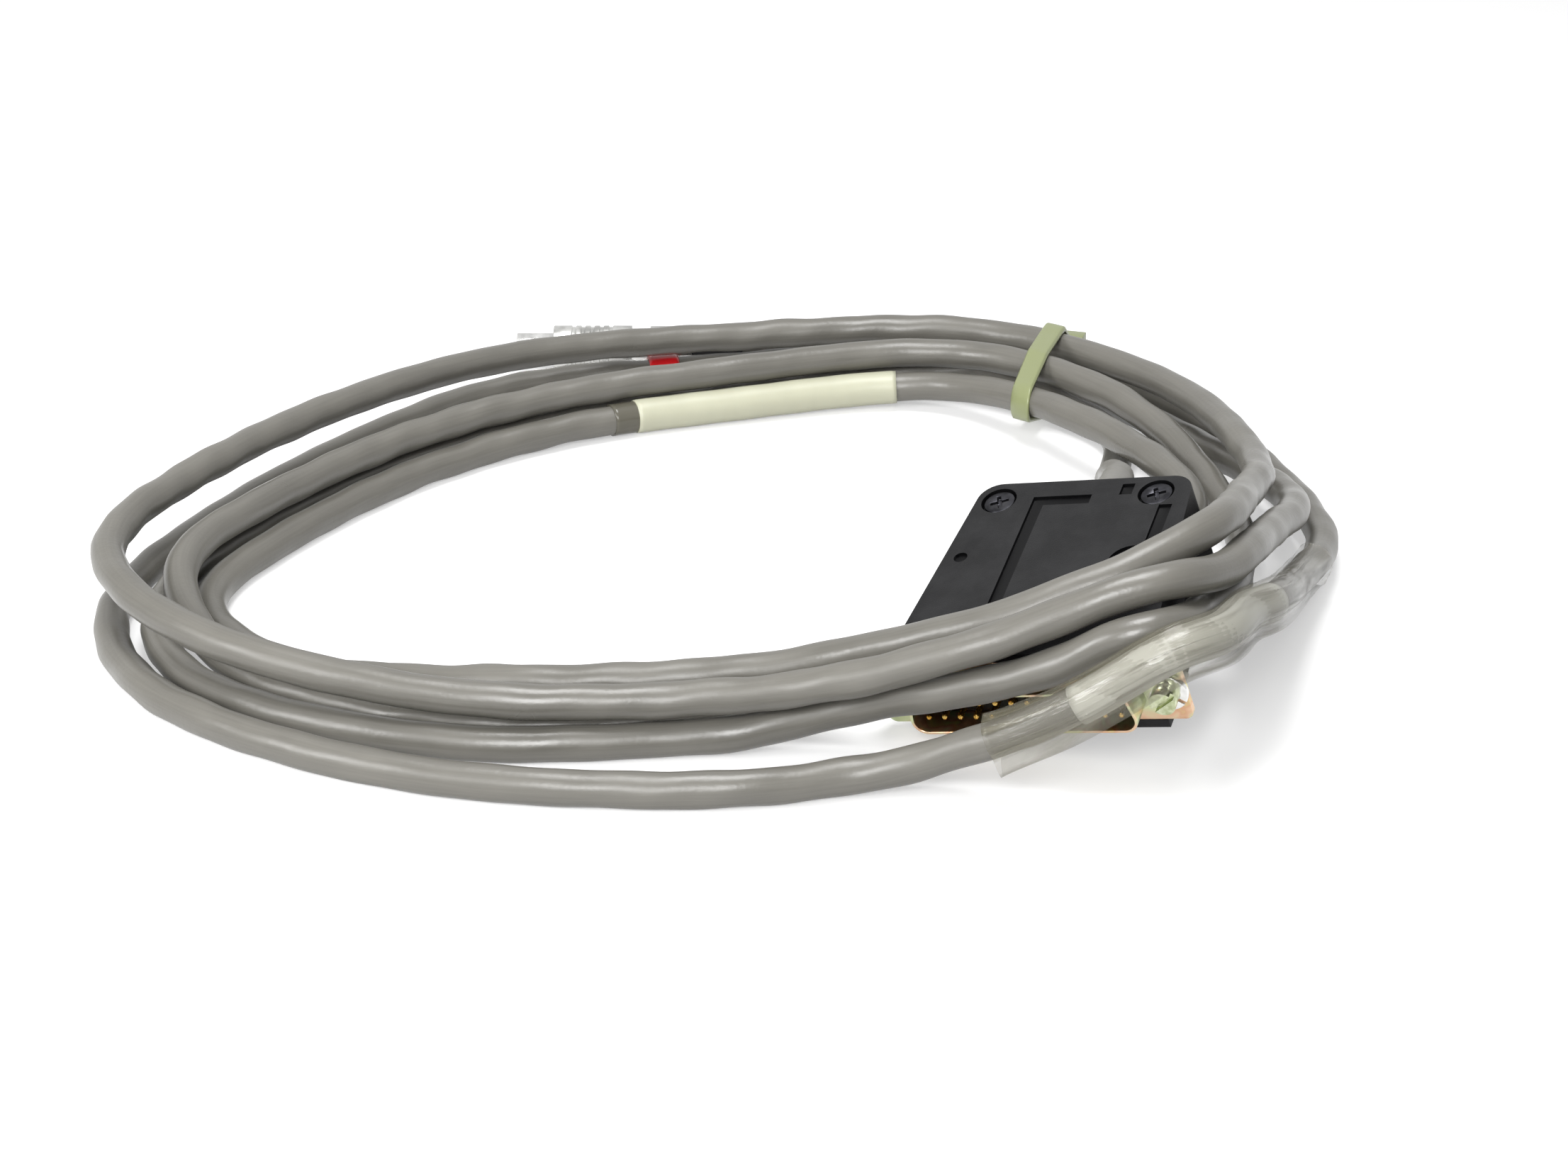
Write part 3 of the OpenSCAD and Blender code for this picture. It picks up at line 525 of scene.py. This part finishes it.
class SleeveLooks(PropertyGroup):
    """Sizes and colours of the film, the ivory sleeve and the tie."""
    film_slack: FloatProperty(
        name="Film slack", description="Slack of the clear film round the jacket",
        default=0.00038, unit="LENGTH")
    fold_height: FloatProperty(
        name="Fold height", description="How far the film's pressed folds stand off",
        default=0.0023, unit="LENGTH")
    ivory_colour: StringProperty(
        name="Ivory colour", description="sRGB colour of the ivory sleeve", default="#ABAB97")
    tie_colour: StringProperty(
        name="Tie colour", description="sRGB colour of the cable tie", default="#7B815A")


# ---- Stage ----

# Half the floor's side in metres, and the floor's own light to an eye that looks at it
FLOOR_REACH = 6.0
FLOOR_GLOW = 0.45
# Strength of the white room as light on the object; seen directly it is 1
ROOM_LIGHT = 0.19
# Softboxes: name, place and aim in metres, side in metres, watts
LAMPS = (
    ("overhead softbox", (0.0, 0.0, 0.8), (0, 0, 0), 0.35, 6.0),
    ("left softbox", (-0.65, -0.45, 0.4), (-0.03, -0.03, 0.01), 0.28, 4.7),
    ("front softbox", (-0.1, -0.85, 0.5), (0, -0.08, 0.01), 0.35, 8.3),
)
# The camera: place in millimetres from the coil's centre, tilt in degrees, lens and sensor
CAMERA_AT = (12, -530, 222)
CAMERA_TILT = 66.5
LENS = 69.98
SENSOR_WIDTH = 36.0


def lay_floor():
    """A pale paper floor with a faint mottle."""
    material, tree, shader = new_material("pale paper sweep", Roughness=0.75,
                                          Emission_Color=(1, 1, 1, 1))
    place = add_node(tree, "ShaderNodeTexCoord")
    mottle = add_node(tree, "ShaderNodeTexNoise", Vector=place.outputs["Object"],
                      Scale=spacing(333), Detail=2.0)
    ramp = add_node(tree, "ShaderNodeValToRGB", Fac=mottle.outputs["Fac"])
    for stop, colour in zip(ramp.color_ramp.elements, ("#C4C4C4", "#CCCCCC")):
        stop.color = linear(colour)
    tree.links.new(ramp.outputs["Color"], shader.inputs["Base Color"])
    # Looked at, the floor is as pale as a lit studio table, and its shadows stay light
    glow = add_node(tree, "ShaderNodeMath", {"operation": "MULTIPLY"}, _0=seen_directly(tree),
                    _1=FLOOR_GLOW)
    tree.links.new(glow.outputs[0], shader.inputs["Emission Strength"])
    mesh = bpy.data.meshes.new("floor")
    corners = [(x * FLOOR_REACH, y * FLOOR_REACH, 0)
               for x, y in ((-1, -1), (1, -1), (1, 1), (-1, 1))]
    mesh.from_pydata(corners, [], [(0, 1, 2, 3)])
    link_object(mesh, "floor", material)


def light_room(scene):
    """A white room that lights the object softly, and the softboxes in it."""
    world = bpy.data.worlds.new("soft room")
    world.use_nodes = True
    sky = world.node_tree
    background = sky.nodes["Background"]
    background.inputs["Color"].default_value = (1, 1, 1, 1)
    strength = add_node(sky, "ShaderNodeMapRange", Value=seen_directly(sky), To_Min=ROOM_LIGHT,
                        To_Max=1.0)
    sky.links.new(strength.outputs[0], background.inputs["Strength"])
    scene.world = world
    for name, place, aim, side, watts in LAMPS:
        light = bpy.data.lights.new(name, "AREA")
        light.shape = "SQUARE"
        light.size = side
        light.energy = watts
        lamp = bpy.data.objects.new(name, light)
        lamp.location = place
        direction = Vector(aim) - Vector(place)
        lamp.rotation_euler = direction.to_track_quat("-Z", "Y").to_euler()
        bpy.context.collection.objects.link(lamp)


def set_camera(scene):
    """A camera in front of the coil, a little above it."""
    lens = bpy.data.cameras.new("camera")
    lens.sensor_width = SENSOR_WIDTH
    lens.sensor_fit = "HORIZONTAL"
    lens.lens = LENS
    lens.clip_start = 0.01
    camera = bpy.data.objects.new("camera", lens)
    camera.location = (COIL_AT + Vector(CAMERA_AT)) * MM
    camera.rotation_euler = (math.radians(CAMERA_TILT), 0, 0)
    bpy.context.collection.objects.link(camera)
    scene.camera = camera
    scene.view_settings.view_transform = "Standard"


class SIGNALCABLE_OT_stage(Operator):
    """Set up the pale floor, the soft lamps and the camera."""
    bl_idname = "signalcable.stage"
    bl_label = "Stage"

    def execute(self, context):
        lay_floor()
        light_room(context.scene)
        set_camera(context.scene)
        return {"FINISHED"}


# ---- The cable and what is on it ----

# Waves that the twisted cores press into the jacket: share, length in metres, turns, start
CORE_WAVES = ((1.0, 0.0187, 1, 0.0), (0.8, 0.0113, -2, 1.3), (0.6, 0.0291, 2, 4.0))
# Length over which those waves swell and fade
SWELL_LENGTH = 0.173

# How far the sleeves stand over the jacket, and the film's thickness, in millimetres
LABEL_RISE = 0.3
IVORY_RISE = 0.5
RING_RISE = 0.6
FILM_THICKNESS = 0.1
# Where the film is pressed together, in degrees round it, low in front and high behind
FOLDS_AT = (-58, 118)
FOLD_SHARPNESS = 24
FILM_SIDES = 64
SLEEVE_SIDES = 28


class SIGNALCABLE_OT_cord(Operator):
    """Make the round jacket along its whole route, from hood to round plug."""
    bl_idname = "signalcable.cord"
    bl_label = "Cable"

    def execute(self, context):
        looks = context.scene.signal_cable
        points = route(0, len(STATIONS) - 1, looks.ring_step)
        radius = looks.jacket_diameter / 2
        length = running_lengths(points)[-1]
        lump = looks.lump_height

        def lumpy(share, a):
            """The jacket's radius: the twisted cores show through as low lumps."""
            at = share * length * 2 * math.pi
            swell = 0.5 + 0.5 * math.sin(at / SWELL_LENGTH + 1.0)
            wave = sum(part * math.sin(at / pitch + turns * a + start)
                       for part, pitch, turns, start in CORE_WAVES)
            return radius + lump * (0.35 + 0.65 * swell) * wave

        cord = swept("cable", points, lumpy, looks.jacket_sides, pvc_jacket(looks.jacket_colour))
        stand_for(cord, "jacket", "cable_coil", "plug_lead", "round_lead")
        return {"FINISHED"}


def put_on(name, turn, start, end, step, radius_at, material, sides=SLEEVE_SIDES, closed=True):
    """A sleeve on the cable between two angles of one turn. Its radii are in millimetres."""
    points = route(station_number(turn, start), station_number(turn, end), step * MM)
    return swept(name, points, lambda share, a: radius_at(share, a) * MM, sides, material, closed)


class SIGNALCABLE_OT_sleeves(Operator):
    """Make the clear film with its folds, the labels and the marker ring."""
    bl_idname = "signalcable.sleeves"
    bl_label = "Sleeves"

    def execute(self, context):
        looks = context.scene.signal_sleeves
        jacket = context.scene.signal_cable.jacket_diameter / 2 / MM
        slack, fold_height = looks.film_slack / MM, looks.fold_height / MM
        random.seed(7)
        waves = [(random.uniform(12, 90), random.uniform(0, 6.28), random.randint(1, 4),
                  random.uniform(0.004, 0.02)) for _ in range(9)]

        def film(share, a):
            """Lay-flat tube: two pressed folds stand off the jacket and sink along it."""
            front, behind = (max(0.0, math.cos(a - math.radians(at))) ** FOLD_SHARPNESS
                             for at in FOLDS_AT)
            folds = front * (1.1 - 0.8 * share) + behind * (0.35 - 0.2 * share)
            ripple = sum(height * math.sin(count * share + start + turns * a)
                         for count, start, turns, height in waves)
            flare = 0.3 * (math.exp(-share * 60) + math.exp((share - 1) * 60))
            return jacket + slack + fold_height * folds + ripple + flare

        def shrunk(share, a):
            """Shrunk tight: it narrows at its ends and waves a little."""
            end = math.exp(-share * 90) + math.exp((share - 1) * 90)
            return jacket + IVORY_RISE - 0.12 * end + 0.03 * math.sin(31 * share + 2 * a)

        clear = put_on("near_clear_film", 4, 292.5, 347, 0.8, film, clear_film(), FILM_SIDES,
                       closed=False)
        wall = clear.modifiers.new("film", "SOLIDIFY")
        wall.thickness = FILM_THICKNESS * MM
        wall.offset = -1
        baked(clear)
        stand_for(clear, "clear_sleeve", "near_clear_sleeve")

        label = put_on("near_inner_label", 4, 298, 319, 1.5, lambda share, a: jacket + LABEL_RISE,
                       sleeve_plastic("milky label film", "#B2B1A6", 0.3, 0.0, 0.72))
        stand_for(label, "inner_label", "near_label")

        ivory = put_on("far_ivory_label", 2, 66, 107, 0.9, shrunk,
                       sleeve_plastic("ivory shrink sleeve", looks.ivory_colour, 0.42, 0.15))
        stand_for(ivory, "ivory_sleeve", "far_label_sleeve")

        far_film = put_on("far_film", 2, 106.5, 112, 0.9,
                          lambda share, a: jacket + LABEL_RISE + 0.05 * math.sin(3 * a),
                          sleeve_plastic("hazy shrink end", "#5F5C50", 0.16, 0.0, 0.6))
        stand_for(far_film, "clear_sleeve", "far_clear_sleeve")

        ring = put_on("marker_ring", 4, 96.5, 100.5, 0.7,
                      lambda share, a: jacket + RING_RISE - 0.25 * abs(2 * share - 1) ** 8,
                      sleeve_plastic("red marker ring", "#B4161C", 0.3))
        stand_for(ring, "red_ring", "red_marker_ring")
        return {"FINISHED"}


# ---- The cable tie, in millimetres ----

TIE_WIDTH = 4.8
TIE_THICKNESS = 1.0
# Room between jacket and strap, and how far the strap's loop passes its cables on either side
TIE_CLEARANCE = 0.12
TIE_SLACK = 0.8
# Steps round the strap, two to a rib, and a rib's height
TIE_STEPS = 150
RIB_HEIGHT = 0.06
# Rows of points across the strap, as shares of its width
TIE_ROWS = (-0.5, -0.42, -0.2, 0, 0.2, 0.42, 0.5)
RIBBED_SHARE = 0.45
# The head: size along the plane, through it and up, its middle's height, and how far that
# middle lies outside the strap's inner side
HEAD_SIZE = (4.0, 5.6, 6.0)
HEAD_HEIGHT = 6.0
HEAD_OUT = 2.3
# Cables further than this from the plane's point belong to the coil's other side
TIE_REACH = 50
# Least height of the strap over the floor
STRAP_LIFT = 0.05


def tie_axes():
    """The tie's plane: its point on the floor, the direction along it and the one through it."""
    turn = math.radians(TIE_TURN)
    along = Vector((math.cos(turn), math.sin(turn), 0))
    return COIL_AT + Vector((*TIE_AT, 0)), along, Vector((along.y, -along.x, 0))


def tied_cables(offset):
    """Place and height at which cables cross the tie's plane, moved sideways by this offset."""
    centre, along, sideways = tie_axes()
    centre = centre + sideways * offset
    found = []
    before = None
    for p in EASED:
        p = p / MM - centre
        here = (p.dot(sideways), p.dot(along), p.z)
        if before and before[0] * here[0] <= 0 and abs(here[1]) < TIE_REACH:
            found.append(here[1:])
        before = here
    return found


def taut_loop(circles, radius, count):
    """Even points on the taut loop round a row of circles: the hull of many points on them."""
    corners = [2 * math.pi * k / 72 for k in range(72)]
    points = sorted((x + radius * math.cos(a), z + radius * math.sin(a))
                    for x, z in circles for a in corners)
    hull = []
    for half in (points, points[::-1]):
        side = []
        for p in half:
            while len(side) > 1 and ((side[-1][0] - side[-2][0]) * (p[1] - side[-2][1])
                                     - (side[-1][1] - side[-2][1]) * (p[0] - side[-2][0])) <= 0:
                side.pop()
            side.append(p)
        hull += side[:-1]
    return evenly([Vector(p) for p in hull + hull[:1]], count)[:-1]


def strap_rows(radius):
    """Rows of the strap: (offset through the plane, points of the inner side, thickness)."""
    rows = []
    for share in TIE_ROWS:
        circles = [(r + x, z) for r, z in tied_cables(share * TIE_WIDTH)
                   for x in (-TIE_SLACK, TIE_SLACK)]
        inner = taut_loop(circles, radius, TIE_STEPS)
        flat = min(z for r, z in inner) + 0.02
        inner = [(r, max(z, flat)) for r, z in inner]
        at_edge = share in (TIE_ROWS[0], TIE_ROWS[-1])
        rows.append((share * TIE_WIDTH, inner, TIE_THICKNESS * (0.5 if at_edge else 1.0)))
    return rows


class SIGNALCABLE_OT_tie(Operator):
    """Make the nylon tie: a flat ribbed strap round the far bundle, its head on the outside."""
    bl_idname = "signalcable.tie"
    bl_label = "Cable tie"

    def execute(self, context):
        centre, along, sideways = tie_axes()
        jacket = context.scene.signal_cable.jacket_diameter / 2 / MM
        rows = strap_rows(jacket + TIE_CLEARANCE)
        bm = bmesh.new()

        def corner(out, through, up):
            """A vertex at these millimetres along the tie's plane, through it and up."""
            return bm.verts.new((centre + along * out + sideways * through
                                 + Vector((0, 0, up))) * MM)

        loops = []
        for offset, inner, depth in rows:
            low_ring, top_ring = [], []
            for i, (r, z) in enumerate(inner):
                before, after = inner[i - 1], inner[(i + 1) % TIE_STEPS]
                normal = Vector((after[1] - before[1], before[0] - after[0])).normalized()
                rib = RIB_HEIGHT * (i % 2) if abs(offset) < RIBBED_SHARE * TIE_WIDTH else 0.0
                for ring, d in ((low_ring, 0.0), (top_ring, depth + rib)):
                    ring.append(corner(r + normal.x * d, offset,
                                       max(z + normal.y * d, STRAP_LIFT)))
            loops.append((low_ring, top_ring))
        following = [(i, (i + 1) % TIE_STEPS) for i in range(TIE_STEPS)]
        for (low_a, top_a), (low_b, top_b) in zip(loops, loops[1:]):
            for i, j in following:
                bm.faces.new((top_a[i], top_a[j], top_b[j], top_b[i]))
                bm.faces.new((low_a[j], low_a[i], low_b[i], low_b[j]))
        for low_ring, top_ring in (loops[0], loops[-1]):
            for i, j in following:
                bm.faces.new((low_ring[i], low_ring[j], top_ring[j], top_ring[i]))

        edge = max(r for offset, inner, depth in rows for r, z in inner)
        for v in bmesh.ops.create_cube(bm, size=1)["verts"]:
            x, y, z = (part * size for part, size in zip(v.co, HEAD_SIZE))
            v.co = (centre + along * (edge + HEAD_OUT + x) + sideways * y
                    + Vector((0, 0, HEAD_HEIGHT + z))) * MM
        bmesh.ops.recalc_face_normals(bm, faces=bm.faces)
        # Moulded nylon: an even olive with a soft gloss
        colour = context.scene.signal_sleeves.tie_colour
        tie = object_from(bm, "nylon_tie",
                          moulded_plastic("moulded nylon", colour, 0.34, 0.6, 0.08, 0.02))
        round_edges(tie, 0.2 * MM, 2, 50, 35)
        stand_for(tie, "tie_nylon", "cable_tie")
        return {"FINISHED"}


# ---- The plugs ----

# Contacts of the hooded plug, in millimetres: pitch, distance of the two rows, length, and how
# far their tips stand in front of the flange
PIN_PITCH = 2.77
PIN_ROWS = 2.84
PIN_LENGTH = 12.0
PIN_TIP = 4.7
LONG_ROW = 13

# The cover's face lies 8 mm over the plug's axis. Its recesses have floors between the first two
# heights, and their walls' middles lie over the third. Those faces get painted shade: a darker
# black than the hood's
RECESS_FLOORS = (6.2, 7.8)
RECESS_WALLS = 7.2
COVER_HALF = 18.5


def pin_tree(material):
    """A geometry tree that puts one round-tipped contact on each point."""
    tree = bpy.data.node_groups.new("contacts on points", "GeometryNodeTree")
    tree.interface.new_socket("Geometry", in_out="INPUT", socket_type="NodeSocketGeometry")
    for name, default in (("Pin radius", 0.5 * MM), ("Pin length", PIN_LENGTH * MM),
                          ("Cup radius", 0.75 * MM), ("Cup length", 3.2 * MM)):
        size = tree.interface.new_socket(name, in_out="INPUT", socket_type="NodeSocketFloat")
        size.default_value = default
    tree.interface.new_socket("Turn", in_out="INPUT", socket_type="NodeSocketVector")
    tree.interface.new_socket("Geometry", in_out="OUTPUT", socket_type="NodeSocketGeometry")
    given = add_node(tree, "NodeGroupInput")
    pin = add_node(tree, "GeometryNodeMeshCylinder", Vertices=14,
                   Radius=given.outputs["Pin radius"], Depth=given.outputs["Pin length"])
    tip = add_node(tree, "GeometryNodeMeshUVSphere", Segments=14, Rings=8,
                   Radius=given.outputs["Pin radius"])
    cup = add_node(tree, "GeometryNodeMeshCylinder", Vertices=14,
                   Radius=given.outputs["Cup radius"], Depth=given.outputs["Cup length"])
    parts = [pin]
    for shape, share in ((tip, -0.5), (cup, 0.5)):
        reach = add_node(tree, "ShaderNodeMath", {"operation": "MULTIPLY"},
                         _0=given.outputs["Pin length"], _1=share)
        offset = add_node(tree, "ShaderNodeCombineXYZ", Z=reach.outputs[0])
        parts.append(add_node(tree, "GeometryNodeTransform", Geometry=shape.outputs["Mesh"],
                              Translation=offset.outputs[0]))
    whole = add_node(tree, "GeometryNodeJoinGeometry")
    for part in parts:
        tree.links.new(part.outputs[0], whole.inputs[0])
    spread = add_node(tree, "GeometryNodeInstanceOnPoints", Points=given.outputs["Geometry"],
                      Instance=whole.outputs[0], Rotation=given.outputs["Turn"])
    real = add_node(tree, "GeometryNodeRealizeInstances", Geometry=spread.outputs[0])
    shown = add_node(tree, "GeometryNodeSetMaterial", Geometry=real.outputs[0],
                     Material=material)
    result = add_node(tree, "NodeGroupOutput")
    tree.links.new(shown.outputs[0], result.inputs[0])
    return tree


def paint_recess_shade(cover):
    """Give the floors and walls of the cover's grooves and screw recesses a smoother finish and
    painted shade, a darker black than the hood's.
    """
    # The second material's darker black is painted shade; its lower roughness gives the smoother
    # finish
    cover.data.materials.append(
        moulded_plastic("smooth black ABS with painted recess shade", "#070708", 0.45, 0.4, 0.1, 0.1, 0.1))
    back = plug_matrix().inverted()
    lowest, highest = RECESS_FLOORS
    for face in cover.data.polygons:
        middle = back @ face.center / MM
        upward = (back.to_3x3() @ face.normal).z
        is_floor = upward > 0.9 and middle.z > lowest
        is_wall = abs(upward) < 0.2 and middle.z >= RECESS_WALLS
        if (is_floor or is_wall) and middle.z < highest and abs(middle.x) < COVER_HALF:
            face.material_index = 1


class SIGNALCABLE_OT_hooded_plug(Operator):
    """Round the edges of the hood and its metal parts, give each its finish, and paint shade into
    the cover's recesses.
    """
    bl_idname = "signalcable.hooded_plug"
    bl_label = "Hooded plug"

    def execute(self, context):
        looks = context.scene.signal_plug
        hood_edge = looks.edge_width / MM
        # Grained ABS: soft matt black, greyer where dust and handling dull it
        shell = moulded_plastic("grained black ABS", looks.hood_colour, 0.55, 0.22, 0.5, 0.6, 0.14)
        chromate = chromated_steel()
        # Zinc plate: a cool grey shine, softly clouded
        zinc = metal("bright zinc", "#B9BAB6", "#E0E0DD", 0.24)
        # Blackened steel: nearly black, with dull glints on its edges
        black_zinc = metal("blackened steel screw", "#242427", "#3C3C40", 0.35)
        # Turned and chromated steel: a greenish shine with small lights
        post = metal("chromated post", "#A8B08A", "#CBD0B2", 0.22, 1.2)
        # Nickel plate: the brightest of the metals, almost a mirror
        bright = metal("nickel washer", "#D2D2D0", "#F0F0EE", 0.16)
        # Glass-filled nylon: black and a little rough from its fibres
        insert = moulded_plastic("black glass-filled nylon", "#080809", 0.5, 0.3, 0.2, 0.1, 0.2)
        # PVC insulation: a pale, smooth tan
        wires = moulded_plastic("wire insulation", "#B8A88C", 0.4, 0.3, 0.05, 0.05)
        dress_nodes((
            ("plug_hood_cover", "hood_cover", hood_edge, shell, "hood", "cable"),
            ("plug_hood_base", "hood_base", hood_edge, shell, "hood", "cable"),
            ("plug_hood_screws", "hood_screws", 0.12, black_zinc, "black_screw", "cable"),
            ("plug_front_shell", "front_shell", 0.12, chromate, "chromate_steel", "cable"),
            ("plug_rear_shell", "rear_shell", 0.12, chromate, "chromate_steel", "cable"),
            ("plug_lock_posts", "lock_posts", 0.18, post, "post_steel", "cable"),
            ("plug_lock_washers", "lock_washers", 0.1, bright, "bright_steel", "cable"),
            ("plug_post_nuts", "post_nuts", 0.15, zinc, "steel", "cable"),
            ("plug_insulator", "insert", 0.1, insert, "insulator", "cable"),
            ("plug_cable_clamp", "cable_clamp", 0.1, zinc, "steel", "cable"),
            ("plug_clamp_screws", "clamp_screws", 0.1, zinc, "steel", "cable"),
            ("plug_wires", "signal_wires", 0.05, wires, "wire", "cable")))
        # Painted shade: the cover's recess floors and walls take a darker black
        paint_recess_shade(bpy.data.objects["hood_cover"])
        return {"FINISHED"}


class SIGNALCABLE_OT_contacts(Operator):
    """Put the gold contacts into the hooded plug's insert."""
    bl_idname = "signalcable.contacts"
    bl_label = "Contacts"

    def execute(self, context):
        # Gold on bronze: a deep yellow shine, slightly blurred
        gold = metal("gold plated bronze", "#B58A38", "#D3B164", 0.26, 1.5)
        place = plug_matrix()
        points = []
        for row in (0, 1):
            count = LONG_ROW - row
            for i in range(count):
                at = ((i - (count - 1) / 2) * PIN_PITCH, PIN_LENGTH / 2 - PIN_TIP,
                      (row - 0.5) * PIN_ROWS)
                points.append(place @ (Vector(at) * MM))
        mesh = bpy.data.meshes.new("gold_contacts")
        mesh.from_pydata(points, [], [])
        piece = link_object(mesh, "gold_contacts")
        maker = piece.modifiers.new("contacts", "NODES")
        maker.node_group = pin_tree(gold)
        turn = (place.to_3x3() @ Matrix.Rotation(math.radians(-90), 3, "X")).to_euler()
        for socket in maker.node_group.interface.items_tree:
            if socket.name == "Turn":
                maker[socket.identifier] = tuple(turn)
        baked(piece)
        stand_for(piece, "gold_contact", "plug_pins")
        return {"FINISHED"}


class SIGNALCABLE_OT_round_plug(Operator):
    """Round the edges of the push-pull plug's parts and give each its finish."""
    bl_idname = "signalcable.round_plug"
    bl_label = "Round plug"

    def execute(self, context):
        # Nickel on turned brass: a warm grey, blurred shine
        satin = metal("satin nickel on brass", "#A9A9A6", "#C9C9C6", 0.3)
        # Polished nickel: it mirrors what is round it
        polished = metal("polished nickel", "#C9C9C7", "#E6E6E4", 0.16)
        # Gold plate: a pale yellow shine
        gold = metal("gold plated contact", "#C79A3C", "#E6C878", 0.25, 1.0)
        # Bare turned brass: yellow-brown and fairly bright
        brass = metal("turned brass", "#B48E4A", "#D6B676", 0.3)
        # Moulded rubber: black, hardly shiny, greyer where it is handled
        rubber = moulded_plastic("black moulded rubber", "#1B1B1C", 0.62, 0.3, 0.3, 0.2)
        # Unfilled PEEK: a waxy beige
        natural = moulded_plastic("natural PEEK", "#C9B99A", 0.4, 0.3, 0.1, 0.1)
        # Core insulation: pale cream, smooth
        wires = moulded_plastic("core insulation", "#C9BBA0", 0.4, 0.3, 0.05, 0.05)
        dress_nodes((
            ("round_front_shell", "nose_shell", 0.15, polished, "plug_metal", "cable"),
            ("round_insulator", "nose_insert", 0.08, natural, "pale_insulator", "cable"),
            ("round_contacts", "nose_contacts", 0.06, gold, "gold_contact", "cable"),
            ("round_wires", "nose_wires", 0.05, wires, "wire", "cable"),
            ("round_latch_sleeve", "latch_grip", 0.18, satin, "plug_metal", "latch"),
            ("round_body", "plug_body", 0.15, polished, "plug_metal", "cable"),
            ("round_collet", "collet", 0.1, brass, "brass", "cable"),
            ("round_collet_nut", "collet_nut", 0.2, satin, "plug_metal", "cable"),
            ("round_bend_relief", "bend_relief", 0.3, rubber, "relief_rubber", "cable")))
        return {"FINISHED"}


class SIGNALCABLE_OT_declare(Operator):
    """Work out the cord's route points along its whole length; nothing more is done with them."""
    bl_idname = "signalcable.declare"
    bl_label = "State the cord"

    def execute(self, context):
        looks = context.scene.signal_cable
        points = route(0, len(STATIONS) - 1, looks.ring_step)
        return {"FINISHED"}


# ---- Panel and registration ----

OPERATORS = (SIGNALCABLE_OT_stage, SIGNALCABLE_OT_cord, SIGNALCABLE_OT_sleeves,
             SIGNALCABLE_OT_tie, SIGNALCABLE_OT_hooded_plug, SIGNALCABLE_OT_contacts,
             SIGNALCABLE_OT_round_plug, SIGNALCABLE_OT_declare)


class SIGNALCABLE_PT_panel(Panel):
    """The pieces of the cable, in the order in which they are made."""
    bl_idname = "SIGNALCABLE_PT_panel"
    bl_label = "Signal cable"
    bl_space_type = "VIEW_3D"
    bl_region_type = "UI"
    bl_category = "Signal cable"

    def draw(self, context):
        for operator in OPERATORS:
            self.layout.operator(operator.bl_idname)


CLASSES = (CableLooks, PlugLooks, SleeveLooks) + OPERATORS + (SIGNALCABLE_PT_panel,)


def register():
    """Registers the classes and the properties on the scene."""
    for made in CLASSES:
        bpy.utils.register_class(made)
    bpy.types.Scene.signal_cable = PointerProperty(type=CableLooks)
    bpy.types.Scene.signal_plug = PointerProperty(type=PlugLooks)
    bpy.types.Scene.signal_sleeves = PointerProperty(type=SleeveLooks)


def unregister():
    """Takes the properties and classes away again."""
    del bpy.types.Scene.signal_sleeves
    del bpy.types.Scene.signal_plug
    del bpy.types.Scene.signal_cable
    for made in reversed(CLASSES):
        bpy.utils.unregister_class(made)


def main():
    """Registers the classes and makes every piece in order."""
    register()
    for operator in OPERATORS:
        group, name = operator.bl_idname.split(".")
        getattr(getattr(bpy.ops, group), name)()


if __name__ == "__main__":
    main()
